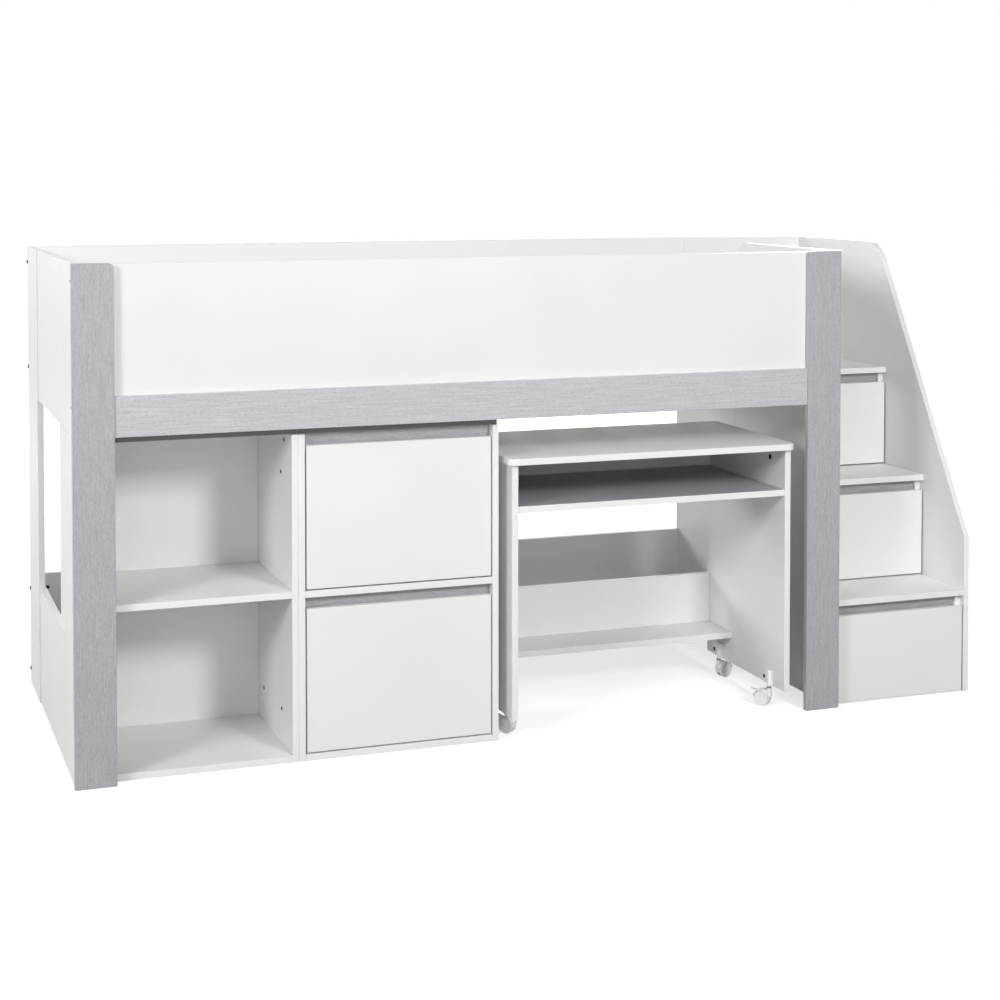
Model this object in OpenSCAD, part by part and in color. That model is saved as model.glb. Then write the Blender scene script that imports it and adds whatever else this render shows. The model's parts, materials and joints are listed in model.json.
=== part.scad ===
// Mid-height cabin bed with a bookcase, a two-drawer cabinet, a roll-out desk on castors
// and a drawer staircase at its right-hand end.
// Every sub-part is drawn from the left outer face (x), the front face of the posts (y) and
// the floor (z), and is then moved so that the origin is the middle of the footprint.

/* [Bed frame] */
// Height of the posts, the end boards and the rear board above the floor
frame_h = 1180; // [1120:5:1400]
// Length of the bed frame over its two ends
frame_l = 1936; // [1930:2:2400]
// Depth from the front face of the posts to the rear face
frame_d = 952; // [900:2:1200]
// Thickness of the laminated boards
board_t = 16; // [15:0.5:18]
// Chamfer along the edges of every board
edge_ease = 0.8; // [0.3:0.1:1.5]

/* [Front] */
// Width of the two front posts
post_w = 94; // [70:2:120]
// Radius of the inner top corner of the posts
post_corner_r = 12; // [4:1:30]
// Height of the grey rail between the posts
rail_h = 93; // [70:1:120]
// Underside of the rail and of the side boards above the floor
rail_z = 788; // [780:1:900]
// Thickness of the grey rail
rail_t = 12; // [8:1:14]
// How far the top of the front side board lies below the posts
guard_drop = 2; // [0:1:20]

/* [Left end] */
// How far the end panels lie behind the outer face of the rear post
end_recess = 3; // [0:0.5:6]
// Width of the post board at the rear of the left end
rear_post_w = 220; // [120:5:260]
// Width of the stile at the front of the left end
stile_w = 189; // [100:1:240]
// Height of the lower edge of the window
window_sill_z = 303; // [200:1:400]
// Height of the upper edge of the window above the underside of the side boards
window_head_rise = 2; // [-60:1:8]

/* [Rear and right end] */
// Height of the low rear panel
low_panel_h = 295; // [200:5:400]
// Length of the full-height guard at the right end
end_guard_l = 549; // [400:1:620]
// Radius of the top corner of that guard
end_guard_r = 65; // [20:5:120]

/* [Bed base] */
// Height of the underside of the slats above the underside of the side boards
deck_rise = 27; // [22:1:60]
// Height of the two bearers under the slats
bearer_h = 20; // [15:1:22]
// Width of the two bearers
bearer_w = 24; // [18:1:40]
// Number of slats
slat_count = 14; // [8:1:18]
// Width of one slat
slat_w = 70; // [50:5:90]
// Thickness of one slat
slat_t = 16; // [12:1:20]
// Free length at the head and foot before the first slat
slat_margin = 40; // [10:5:80]

/* [Bookcase and cabinet] */
// How far their front edges stand behind the front of the posts
unit_setback = 33; // [30:1:80]
// Gap between their top boards and the underside of the rail
unit_top_gap = 1; // [0.5:0.5:60]
// Depth of their side boards
unit_d = 377; // [300:1:450]
// How far the top boards stand behind the side boards
unit_top_setback = 12; // [0:1:40]
// Width of the bookcase
bookcase_w = 502; // [400:1:560]
// Height of the underside of the shelf in the bookcase
bookcase_shelf_z = 387; // [250:1:550]
// Width of the cabinet
cabinet_w = 496; // [400:1:560]
// Height of the underside of the board between the two drawers
cabinet_divider_z = 386; // [300:1:450]
// Thickness of the rear panels
back_t = 8; // [3:1:12]
// How far the rear panels stand in front of the rear edges
back_inset = 4; // [0:1:12]

/* [Staircase] */
// Width of the staircase beyond the bed frame
stair_w = 404; // [340:2:600]
// Front edge of the first tread and of the outer panel behind the posts
stair_front_y = 22; // [0:1:60]
// Height of the top of the first tread
first_tread_z = 273; // [230:1:300]
// Height of the landing above the underside of the side boards
landing_rise = 38; // [30:1:60]
// Depth of one step
stair_going = 198.5; // [160:0.5:220]
// Height at which the outer panel starts to slope
slope_start_z = 412; // [200:1:600]
// Depth at which the line of the slope meets the top edge
slope_top_y = 475; // [380:5:620]
// Radius between the slope and the top edge
slope_corner_r = 110; // [40:5:150]

/* [Drawers] */
// Gap between a drawer front and its neighbours
front_gap = 3.5; // [1.5:0.5:5]
// Height of the finger recess above each drawer front
grip_h = 27; // [20:0.5:40]
// How far the grey strip stands behind the front edges of the carcass
grip_recess = 9; // [5:1:15]
// Height of the grey strip in the finger recess
grip_strip_h = 40; // [30:1:60]
// How far a tread overhangs the drawer front below it
tread_lip = 2; // [0:0.5:15]
// Thickness of the drawer box boards
box_t = 12; // [9:1:16]
// Thickness of the drawer bottoms
box_bottom_t = 6; // [3:1:9]
// Free height between a drawer box and the grey strip above it
box_head_gap = 20; // [5:1:60]
// Gap between the drawer boxes and what is behind them
box_rear_gap = 19; // [5:1:80]
// Glue line between the boards of a drawer box
glue_gap = 0.1; // [0.05:0.05:0.2]
// Free height under a drawer box
box_lift = 14; // [8:1:20]

/* [Drawer runners] */
// Width of the space between a drawer box and its carcass
runner_space = 12.5; // [10:0.5:20]
// Height of the sliding bar on the drawer box
runner_bar_h = 13; // [8:1:20]
// Wall thickness of the fixed channel
runner_wall = 1.5; // [1:0.25:2]
// Running gap around the sliding bar
runner_gap = 0.3; // [0.2:0.05:0.6]
// Height of the bar above the bottom of the drawer box
runner_lift = 26; // [15:1:60]
// How much shorter the runners are than the drawer box
runner_short = 25; // [10:5:60]

/* [Desk] */
// Gap between the cabinet and the left end of the desk top
desk_offset = 17; // [8:1:30]
// Gap between the right end of the desk top and the right end of the bed
desk_side_gap = 110; // [20:1:300]
// Depth of the desk top
desk_d = 460; // [380:5:560]
// Gap between the desk top and the underside of the rail
desk_top_gap = 98; // [20:1:150]
// How far the desk top overhangs its side boards at each end
desk_end_lap = 10; // [5:1:30]
// How far the desk top overhangs its side boards at the front
desk_front_lap = 12; // [0:1:30]
// How far the side boards end before the rear edge of the desk top
desk_rear_lap = 2; // [0:1:20]
// Radius of the front corners of the desk top
desk_corner_r = 20; // [5:1:60]
// Height of the desk's side boards above the floor
desk_side_z = 52; // [50:1:60]
// Height of the free space between the keyboard shelf and the desk top
desk_shelf_space = 102; // [60:1:200]
// Height of the underside of the foot shelf
foot_shelf_z = 121; // [100:1:200]
// Depth of the foot shelf
foot_shelf_d = 152; // [80:1:250]
// Height of the modesty panel
modesty_h = 135; // [80:5:300]

/* [Castors] */
// Radius of the castor wheels
wheel_r = 20; // [18:0.5:20]
// Width of one wheel
wheel_w = 8; // [6:0.5:10]
// Width of the web between the two wheels
web_w = 7; // [5:0.5:10]
// Distance from the swivel axis to the wheel axle
castor_trail = 18; // [14:0.5:22]
// Radius of the swivel stem
stem_r = 4; // [3:0.25:5]
// Radius of the wheel axle
axle_r = 3; // [2:0.25:4]
// Height of the castor brackets
bracket_h = 40; // [36:1:50]
// Distance from the desk's side board to the swivel axis
stem_offset = 10; // [10:0.5:14]
// Depth of the front swivel axes behind the front of the posts
castor_front_y = 74; // [45:1:90]
// Depth of the rear swivel axes behind the front of the posts
castor_rear_y = 366; // [250:1:380]
// Direction of trail of each castor from the X axis: front left, front right, rear left, rear right
castor_turns = [130, 130, 40, 13]; // [0:1:360]
// Radial clearance of the swivels and the axles
running_gap = 0.05; // [0.02:0.01:0.1]

/* [Fastenings] */
// Radius of the domed bolt heads
bolt_head_r = 5.5; // [4:0.5:7]
// Height of the domed bolt heads
bolt_head_h = 3; // [2:0.5:4]
// Radius of the bolt shanks
bolt_r = 3; // [2.5:0.5:3.5]
// Radius of the barrel nuts
nut_r = 5; // [5:0.5:6]
// Distance of the barrel nuts from the end of their board
nut_reach = 28; // [20:1:40]
// Clearance of the bolts, the nuts and the cam locks in their holes
hole_gap = 0.1; // [0.05:0.05:0.3]
// Radius of the cam locks in the desk's side boards
cam_r = 7.5; // [6:0.5:9]
// Depth of the cam locks
cam_depth = 12; // [10:0.5:12]

/* [Hidden] */
$fn = 64;
// A cut runs this far past the surface that it opens
overcut = 1;

// Colours
white = [0.94, 0.94, 0.94];
grey = [0.68, 0.69, 0.71];
pale_grey = [0.78, 0.79, 0.81];
dark = [0.15, 0.15, 0.16];
pale_timber = [0.86, 0.76, 0.60];
zinc = [0.78, 0.79, 0.80];

// Bed frame places
deck_z = rail_z + deck_rise;
landing_z = rail_z + landing_rise;
window_head_z = rail_z + window_head_rise;
post_t = board_t;
side_y = post_t;
inner_y0 = side_y + board_t;
rear_y = frame_d - board_t;
left_in_x = end_recess + board_t;
right_in_x = frame_l - board_t;
front_guard_h = frame_h - guard_drop - rail_z;
rear_post_y = frame_d - rear_post_w;
stile_y1 = side_y + stile_w;
end_guard_y1 = side_y + end_guard_l;

// Unit places
unit_side_h = rail_z - unit_top_gap - board_t;
unit_y1 = unit_setback + unit_d;
unit_back_y = unit_y1 - back_inset - back_t;
bookcase_x = left_in_x;
cabinet_x = bookcase_x + bookcase_w;
cabinet_x1 = cabinet_x + cabinet_w;
cabinet_cells = [[board_t, cabinet_divider_z], [cabinet_divider_z + board_t, unit_side_h]];

// Stair places
stair_x1 = frame_l + stair_w;
outer_x0 = stair_x1 - board_t;
stair_side_in = [frame_l + board_t, outer_x0 - board_t];
step_y = [for (i = [0:2]) stair_front_y + i * stair_going];
tread_top = [for (i = [0:2]) first_tread_z + i * (landing_z - first_tread_z) / 2];
stair_cells = [for (i = [0:2]) [i == 0 ? 0 : tread_top[i - 1], tread_top[i] - board_t]];
slope_angle = atan2(frame_h - slope_start_z, slope_top_y - stair_front_y);
slope_tangent = slope_corner_r * tan(slope_angle / 2);

// Drawers, two in the cabinet and three in the stairs: inner faces of the carcass, front face of
// the drawer front, bottom and top of the cell, whether the front covers the sides, depth of the box
stair_edge_y = [for (y = step_y) y + tread_lip + board_t];
cabinet_in = [cabinet_x + board_t, cabinet_x1 - board_t];
cabinet_box_d = unit_back_y - box_rear_gap - (unit_setback + board_t);
stair_box_d = rear_y - box_rear_gap - stair_edge_y[2];
drawers = concat(
    [for (cell = cabinet_cells) [cabinet_in, unit_setback, cell, false, cabinet_box_d]],
    [for (i = [0:2]) [stair_side_in, step_y[i] + tread_lip, stair_cells[i], true, stair_box_d]]);
bar_w = runner_space - runner_wall - runner_gap;
channel_h = runner_bar_h + 2 * (runner_gap + runner_wall);
channel_d = runner_space - 2 * runner_gap;

// Desk places
desk_x0 = cabinet_x1 + desk_offset;
desk_w = right_in_x - desk_side_gap - desk_x0;
desk_h = rail_z - desk_top_gap;
desk_side_x = [desk_x0 + desk_end_lap, desk_x0 + desk_w - desk_end_lap - board_t];
desk_in = [desk_side_x[0] + board_t, desk_side_x[1]];
desk_side_y0 = desk_front_lap;
desk_side_y1 = desk_d - desk_rear_lap;
desk_side_top = desk_h - board_t;
desk_shelf_z = desk_side_top - desk_shelf_space - board_t;

// Castor places
castor_at = [[desk_in[0] + stem_offset, castor_front_y], [desk_in[1] - stem_offset, castor_front_y],
    [desk_in[0] + stem_offset, castor_rear_y], [desk_in[1] - stem_offset, castor_rear_y]];
wheel_gap = 0.5;
wheel_y0 = web_w / 2 + wheel_gap;
hood_r0 = wheel_r + 0.8;
hood_r1 = hood_r0 + 1.8;
hood_half_w = wheel_y0 + wheel_w;
hood_low_z = wheel_r + 4;
web_low_z = wheel_r - 6;
stem_boss_r = 6;
stem_boss_z = 1.9 * wheel_r;
seat_gap = 0.3;
bracket_screw_y = 40;
bracket_l = bracket_screw_y + 2.3 * stem_boss_r;
bracket_screw_z = desk_side_z + 16;
bracket_plate_t = 3;

// Brake lever: its pin stands off the hood at 45 degrees above the axle
brake_pin_r = 1.4;
brake_lug_r = 2.4;
brake_lug_half_w = 5;
brake_cheek_gap = 0.3;
brake_cheek_t = 2;
brake_pin_reach = brake_lug_half_w + brake_cheek_gap + brake_cheek_t + 0.5;
brake_tab_l = 15;
brake_tab_t = 2.4;
brake_tilt = 20;
brake_reach = hood_r1 + brake_lug_r + 0.4;
brake_at = [castor_trail + brake_reach * cos(45), 0, wheel_r + brake_reach * sin(45)];

// Fastening places: bolts in the front side board, the rear side board and the low rear panel
bolt_side_z = [rail_z + 70, frame_h - 40];
bolt_low_z = [40, low_panel_h - 37];
front_bolt_y = side_y + board_t / 2;
rear_bolt_y = rear_y + board_t / 2;
nut_depth = board_t - 2;
nut_slot_w = 1.4;

// Cam locks in the desk's side boards: behind their front edge and below their top
cam_y = desk_side_y0 + 82;
cam_z = desk_side_top - 29;

// The origin is the middle of the footprint on the floor; the rear bolt heads lie furthest to -X
shift = [-(stair_x1 - bolt_head_h) / 2, -frame_d / 2, 0];
module placed() { translate(shift) children(); }

// ---------- Shapes that repeat ----------

// Rectangle with cut corners
module eased_rect(w, h, e) {
    polygon([[e, 0], [w - e, 0], [w, e], [w, h - e], [w - e, h], [e, h], [0, h - e], [0, e]]);
}

// Box with all twelve edges chamfered
module eased_box(s, ease = edge_ease) {
    e = min(ease, min(s) / 5);
    intersection() {
        linear_extrude(s.z) eased_rect(s.x, s.y, e);
        translate([0, s.y, 0]) rotate([90, 0, 0]) linear_extrude(s.y) eased_rect(s.x, s.z, e);
        rotate([90, 0, 90]) linear_extrude(s.x) eased_rect(s.y, s.z, e);
    }
}

// Board between two opposite corners
module board(a, b) { translate(a) eased_box(b - a); }

// Disc with both rims chamfered
module eased_disc(r, t) {
    rotate_extrude() polygon([[0, 0], [r - edge_ease, 0], [r, edge_ease], [r, t - edge_ease],
        [r - edge_ease, t], [0, t]]);
}

// Plate in the XY plane, t thick, whose corners at the far +Y side named by 0 (left) or 1 (right)
// are round; every edge is chamfered
module rounded_plate(w, h, t, r, corners) {
    difference() {
        eased_box([w, h, t]);
        for (c = corners) translate([c == 0 ? -overcut : w - r, h - r, -overcut])
            cube([r + overcut, r + overcut, t + 2 * overcut]);
    }
    for (c = corners) translate([c == 0 ? r : w - r, h - r, 0]) eased_disc(r, t);
}

// Stands a plate up: its own X goes along +Y, its Y up and its thickness along +X
module stood_up() { rotate([90, 0, 90]) children(); }

// Hole along X from face x0 into a board
module bolt_hole(x0, y, z, l) {
    translate([x0 - overcut, y, z]) rotate([0, 90, 0]) cylinder(h = l + overcut, r = bolt_r + hole_gap);
}

// Blind hole for a barrel nut, open towards the bed's inside
module nut_hole(x, y_open, z, inward) {
    translate([x, y_open, z]) rotate([inward * 90, 0, 0]) translate([0, 0, -overcut])
        cylinder(h = nut_depth + overcut, r = nut_r + hole_gap);
}

// ---------- Bed frame ----------

// Left and right post, each with its inner top corner round
module front_posts() {
    color(grey) placed() for (side = [0, 1])
        translate([side * (frame_l - post_w), post_t, 0]) rotate([90, 0, 0])
            rounded_plate(post_w, frame_h, post_t, post_corner_r, [1 - side]);
}

module front_rail() {
    color(pale_grey) placed()
        board([post_w, post_t - rail_t, rail_z], [frame_l - post_w, post_t, rail_z + rail_h]);
}

module front_side_board() {
    color(white) placed() difference() {
        board([left_in_x, side_y, rail_z], [right_in_x, inner_y0, rail_z + front_guard_h]);
        for (z = bolt_side_z) {
            bolt_hole(left_in_x, front_bolt_y, z, nut_reach + nut_r);
            nut_hole(left_in_x + nut_reach, inner_y0, z, 1);
        }
    }
}

module left_end_stile() {
    color(white) placed() board([end_recess, side_y, 0], [left_in_x, stile_y1, window_head_z]);
}

module left_end_upper_panel() {
    color(white) placed() difference() {
        board([end_recess, side_y, window_head_z], [left_in_x, rear_post_y, frame_h]);
        for (z = bolt_side_z) bolt_hole(end_recess, front_bolt_y, z, board_t + overcut);
    }
}

module left_end_lower_panel() {
    color(white) placed() board([end_recess, stile_y1, 0], [left_in_x, rear_post_y, window_sill_z]);
}

module left_end_rear_post() {
    color(white) placed() difference() {
        board([0, rear_post_y, 0], [board_t, frame_d, frame_h]);
        for (z = concat(bolt_low_z, bolt_side_z)) bolt_hole(0, rear_bolt_y, z, board_t + overcut);
    }
}

module rear_side_board() {
    color(white) placed() difference() {
        board([board_t, rear_y, rail_z], [frame_l, frame_d, frame_h]);
        for (z = bolt_side_z) {
            bolt_hole(board_t, rear_bolt_y, z, nut_reach + nut_r);
            nut_hole(board_t + nut_reach, rear_y, z, -1);
        }
    }
}

module rear_low_panel() {
    color(white) placed() difference() {
        board([board_t, rear_y, 0], [right_in_x, frame_d, low_panel_h]);
        for (z = bolt_low_z) {
            bolt_hole(board_t, rear_bolt_y, z, nut_reach + nut_r);
            nut_hole(board_t + nut_reach, rear_y, z, -1);
        }
    }
}

module right_end_front_panel() {
    color(white) placed() translate([right_in_x, side_y, 0]) stood_up()
        rounded_plate(end_guard_l, frame_h, board_t, end_guard_r, [1]);
}

// Lower rear board of the right end, notched for the rear side board
module right_end_rear_panel() {
    color(white) placed() difference() {
        board([right_in_x, end_guard_y1, 0], [frame_l, frame_d, landing_z]);
        translate([right_in_x - overcut, rear_y, rail_z])
            cube([board_t + 2 * overcut, board_t + overcut, landing_z - rail_z + overcut]);
    }
}

module slat_bearers() {
    color(white) placed() {
        board([left_in_x, inner_y0, deck_z - bearer_h], [right_in_x, inner_y0 + bearer_w, deck_z]);
        board([left_in_x, rear_y - bearer_w, deck_z - bearer_h], [right_in_x, rear_y, deck_z]);
    }
}

module bed_slats() {
    first = left_in_x + slat_margin;
    last = right_in_x - slat_margin - slat_w;
    color(pale_timber) placed() for (i = [0:slat_count - 1]) {
        x = first + i * (last - first) / (slat_count - 1);
        board([x, inner_y0 + 1, deck_z], [x + slat_w, rear_y - 1, deck_z + slat_t]);
    }
}

// Bolt along +X whose head lies on the face at x0, and its barrel nut
module bolt(x0, y, z, x_nut) {
    translate([x0, y, z]) rotate([0, 90, 0]) {
        cylinder(h = x_nut - nut_r - x0, r = bolt_r);
        intersection() {
            translate([0, 0, -bolt_head_h]) cylinder(h = bolt_head_h, r = bolt_head_r);
            translate([0, 0, bolt_head_r * 1.4 - bolt_head_h]) sphere(r = bolt_head_r * 1.4);
        }
    }
}

module barrel_nut(x, y_open, z, inward) {
    translate([x, y_open, z]) rotate([inward * 90, 0, 0]) difference() {
        cylinder(h = nut_depth, r = nut_r);
        cube([nut_slot_w, 2 * nut_r, 2 * nut_slot_w], center = true);
    }
}

module frame_bolts() {
    color(dark) placed() {
        for (z = bolt_side_z) {
            bolt(end_recess, front_bolt_y, z, left_in_x + nut_reach);
            bolt(0, rear_bolt_y, z, board_t + nut_reach);
            barrel_nut(left_in_x + nut_reach, inner_y0, z, 1);
            barrel_nut(board_t + nut_reach, rear_y, z, -1);
        }
        for (z = bolt_low_z) {
            bolt(0, rear_bolt_y, z, board_t + nut_reach);
            barrel_nut(board_t + nut_reach, rear_y, z, -1);
        }
    }
}

// ---------- Bookcase and cabinet ----------

// Two side boards of a unit that is w wide
module unit_sides(x, w) {
    for (x0 = [x, x + w - board_t])
        board([x0, unit_setback, 0], [x0 + board_t, unit_y1, unit_side_h]);
}

// Flat board between the two side boards of a unit, with its underside at z
module unit_shelf(x, w, z) {
    board([x + board_t, unit_setback, z], [x + w - board_t, unit_back_y, z + board_t]);
}

module unit_top(x, w) {
    board([x, unit_setback + unit_top_setback, unit_side_h], [x + w, unit_y1, unit_side_h + board_t]);
}

module unit_back(x, w) {
    board([x + board_t, unit_back_y, 0], [x + w - board_t, unit_back_y + back_t, unit_side_h]);
}

// Screws between the bookcase and the cabinet: [depth behind the front edge, height]
unit_screw_at = [[77, 750], [110, 669], [304, 98], [110, 99]];
unit_screw_r = 2.5;
unit_screw_head_r = 5;
unit_screw_head_h = 1.5;

module unit_screw_holes() {
    for (p = unit_screw_at) translate([cabinet_x - board_t - overcut, unit_setback + p[0], p[1]])
        rotate([0, 90, 0]) cylinder(h = 2 * (board_t + overcut), r = unit_screw_r + hole_gap);
}

module bookcase_sides() {
    color(white) placed() difference() {
        unit_sides(bookcase_x, bookcase_w);
        unit_screw_holes();
    }
}

module bookcase_top() { color(white) placed() unit_top(bookcase_x, bookcase_w); }
module bookcase_bottom() { color(white) placed() unit_shelf(bookcase_x, bookcase_w, 0); }
module bookcase_shelf() { color(white) placed() unit_shelf(bookcase_x, bookcase_w, bookcase_shelf_z); }
module bookcase_back() { color(white) placed() unit_back(bookcase_x, bookcase_w); }

module cabinet_sides() {
    color(white) placed() difference() {
        unit_sides(cabinet_x, cabinet_w);
        unit_screw_holes();
    }
}

module cabinet_top() { color(white) placed() unit_top(cabinet_x, cabinet_w); }
module cabinet_divider() { color(white) placed() unit_shelf(cabinet_x, cabinet_w, cabinet_divider_z); }
module cabinet_bottom() { color(white) placed() unit_shelf(cabinet_x, cabinet_w, 0); }
module cabinet_back() { color(white) placed() unit_back(cabinet_x, cabinet_w); }

// Screw along +X with a flat head on the bookcase side and a sleeve head on the cabinet side
module unit_screws() {
    color(dark) placed() for (p = unit_screw_at)
        translate([cabinet_x, unit_setback + p[0], p[1]]) rotate([0, 90, 0]) {
            translate([0, 0, -board_t]) cylinder(h = 2 * board_t, r = unit_screw_r);
            for (z = [-board_t - unit_screw_head_h, board_t])
                translate([0, 0, z]) cylinder(h = unit_screw_head_h, r = unit_screw_head_r);
        }
}

// ---------- Staircase ----------

// Outer panel: a full-height board whose front top corner is cut along the slope and round its shoulder
module stair_outer_panel() {
    arc_y = slope_top_y + slope_tangent;
    arc_z = frame_h - slope_corner_r;
    slope_end_y = slope_top_y - slope_tangent * cos(slope_angle);
    slope_end_z = frame_h - slope_tangent * sin(slope_angle);
    color(white) placed() translate([outer_x0, 0, 0]) difference() {
        board([0, stair_front_y, 0], [board_t, frame_d, frame_h]);
        translate([-overcut, 0, 0]) stood_up() linear_extrude(board_t + 2 * overcut) difference() {
            polygon([[stair_front_y - overcut, slope_start_z - overcut * tan(slope_angle)],
                [stair_front_y - overcut, frame_h + overcut], [arc_y, frame_h + overcut], [arc_y, arc_z],
                [slope_end_y, slope_end_z]]);
            translate([arc_y, arc_z]) circle(slope_corner_r);
        }
    }
}

module stair_rear_panel() {
    color(white) placed() board([frame_l, rear_y, 0], [outer_x0, frame_d, frame_h]);
}

// One side board at the left and one at the right of every cell between the treads
module stair_sides() {
    color(white) placed() for (i = [0:2], x = [frame_l, outer_x0 - board_t])
        board([x, stair_edge_y[i], stair_cells[i][0]], [x + board_t, rear_y, stair_cells[i][1]]);
}

module stair_tread(i) {
    color(white) placed()
        board([frame_l, step_y[i], tread_top[i] - board_t], [outer_x0, rear_y, tread_top[i]]);
}
module stair_tread_1() { stair_tread(0); }
module stair_tread_2() { stair_tread(1); }
module stair_tread_3() { stair_tread(2); }

// ---------- Drawers ----------

// Grey strips at the back of the finger recesses
module grip_strips() {
    color(grey) placed() for (d = drawers) {
        y = d[1] + board_t + grip_recess;
        board([d[0][0], y, d[2][1] - grip_strip_h], [d[0][1], y + board_t, d[2][1]]);
    }
}

// Drawer front, either between the carcass sides or over them
module drawer_front(i) {
    d = drawers[i];
    reach = d[3] ? board_t - front_gap : -front_gap;
    color(white) placed() board([d[0][0] - reach, d[1], d[2][0] + front_gap],
        [d[0][1] + reach, d[1] + board_t, d[2][1] - grip_h]);
}
module cabinet_front_lower() { drawer_front(0); }
module cabinet_front_upper() { drawer_front(1); }
module stair_front_1() { drawer_front(2); }
module stair_front_2() { drawer_front(3); }
module stair_front_3() { drawer_front(4); }

// Open box behind a drawer front, with a sliding bar on each side
module drawer_box(i) {
    d = drawers[i];
    x0 = d[0][0] + runner_space;
    x1 = d[0][1] - runner_space;
    y0 = d[1] + board_t;
    y1 = y0 + d[4];
    z0 = d[2][0] + box_lift;
    z1 = d[2][1] - grip_strip_h - box_head_gap;
    inset = box_t + glue_gap;
    bottom_z = z0 + box_bottom_t;
    bar_z = z0 + runner_lift;
    color(white) placed() {
        for (x = [x0, x1 - box_t]) board([x, y0, z0], [x + box_t, y1, z1]);
        for (y = [y0, y1 - box_t]) board([x0 + inset, y, z0], [x1 - inset, y + box_t, z1]);
        board([x0 + inset, y0 + inset, bottom_z], [x1 - inset, y1 - inset, bottom_z + box_bottom_t]);
        for (x = [x0 - bar_w, x1 + glue_gap])
            board([x, y0 + runner_short, bar_z], [x + bar_w - glue_gap, y1, bar_z + runner_bar_h]);
    }
}
module cabinet_box_lower() { drawer_box(0); }
module cabinet_box_upper() { drawer_box(1); }
module stair_box_1() { drawer_box(2); }
module stair_box_2() { drawer_box(3); }
module stair_box_3() { drawer_box(4); }

// Channel along Y on a carcass side, open towards +X
module channel(l) {
    rotate([90, 0, 0]) mirror([0, 0, 1]) linear_extrude(l) difference() {
        square([channel_d, channel_h]);
        translate([runner_wall, runner_wall]) square([channel_d, channel_h - 2 * runner_wall]);
    }
}

module drawer_runners() {
    color(zinc) placed() for (d = drawers) {
        y = d[1] + board_t + runner_short;
        z = d[2][0] + box_lift + runner_lift - runner_gap - runner_wall;
        l = d[4] - runner_short;
        translate([d[0][0], y, z]) channel(l);
        translate([d[0][1], y, z]) mirror([1, 0, 0]) channel(l);
    }
}

// ---------- Desk ----------

// Desk top with both front corners round
module desk_top() {
    color(white) placed() translate([desk_x0, desk_d, desk_side_top]) mirror([0, 1, 0])
        rounded_plate(desk_w, desk_d, board_t, desk_corner_r, [0, 1]);
}

// Cam lock or, made larger by a gap, its hole, in both side boards
module cams(gap) {
    for (side = [0, 1]) translate([desk_in[side], cam_y, cam_z]) mirror([1 - side, 0, 0])
        rotate([0, 90, 0]) cylinder(h = cam_depth + gap, r = cam_r + gap);
}

module desk_sides() {
    color(white) placed() difference() {
        for (x = desk_side_x)
            board([x, desk_side_y0, desk_side_z], [x + board_t, desk_side_y1, desk_side_top]);
        cams(hole_gap);
    }
}

// Keyboard shelf: grey with a white front edge
module desk_shelf() {
    color(grey) placed() board([desk_in[0], desk_side_y0 + 2, desk_shelf_z],
        [desk_in[1], desk_side_y1, desk_shelf_z + board_t]);
}

// Rail above the keyboard shelf and modesty panel on the foot shelf
module desk_back_boards() {
    foot_top = foot_shelf_z + board_t;
    color(white) placed() {
        board([desk_in[0], desk_side_y1 - board_t, desk_shelf_z + board_t],
            [desk_in[1], desk_side_y1, desk_side_top]);
        board([desk_in[0], desk_side_y1 - board_t, foot_top],
            [desk_in[1], desk_side_y1, foot_top + modesty_h]);
    }
}

module desk_foot_shelf() {
    color(white) placed() board([desk_in[0], desk_side_y1 - foot_shelf_d, foot_shelf_z],
        [desk_in[1], desk_side_y1, foot_shelf_z + board_t]);
}

// Plate with a socket for the swivel stem, drawn for a side board at -X
module castor_bracket() {
    z0 = desk_side_z;
    difference() {
        union() {
            translate([-stem_offset, -stem_boss_r, z0]) cube([stem_offset, 2 * stem_boss_r, bracket_h]);
            translate([0, 0, z0]) cylinder(h = bracket_h, r = stem_boss_r);
            translate([-stem_offset, -stem_boss_r, z0]) stood_up()
                rounded_plate(bracket_l, bracket_h, bracket_plate_t, stem_boss_r, [1]);
        }
        translate([0, 0, z0 - overcut]) cylinder(h = bracket_h + 2 * overcut, r = stem_r + running_gap);
        translate([-stem_offset - overcut, bracket_screw_y, bracket_screw_z]) rotate([0, 90, 0])
            cylinder(h = bracket_plate_t + 2 * overcut, r = bolt_r + hole_gap);
    }
}

// Puts a bracket's or a screw's own frame at castor i, against its side board
module at_bracket(i) {
    translate([castor_at[i][0], castor_at[i][1], 0]) mirror([i % 2, 0, 0]) children();
}

module castor_brackets() {
    color(white) placed() for (i = [0:3]) at_bracket(i) castor_bracket();
}

// Screws of the castor brackets, and the cam locks under the desk top
module desk_fittings() {
    head_h = 1.6;
    color(dark) placed() {
        for (i = [0:3]) at_bracket(i)
            translate([-stem_offset, bracket_screw_y, bracket_screw_z]) rotate([0, 90, 0]) {
                cylinder(h = bracket_plate_t, r = bolt_r);
                translate([0, 0, bracket_plate_t]) cylinder(h = head_h, r = bolt_head_r);
            }
        cams(0);
    }
}

// ---------- Castors ----------

// Puts a castor's own frame, with +X along its trail, at castor i
module at_castor(i) {
    translate([castor_at[i][0], castor_at[i][1], 0]) rotate([0, 0, castor_turns[i]]) children();
}

// Draws an outline in the XZ plane, w wide and centred on Y
module centred_web(w) { translate([0, w / 2, 0]) rotate([90, 0, 0]) linear_extrude(w) children(); }

// Lug with a neck to the hood, and the pin through it, both along Z
module brake_hinge() {
    neck_l = brake_lug_r + 1.2;
    neck_half_w = brake_lug_half_w - 1;
    cylinder(h = 2 * brake_lug_half_w, r = brake_lug_r, center = true);
    cylinder(h = 2 * brake_pin_reach, r = brake_pin_r, center = true);
    rotate(45) translate([-neck_l, -1.5, -neck_half_w]) cube([neck_l, 3, 2 * neck_half_w]);
}

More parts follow.
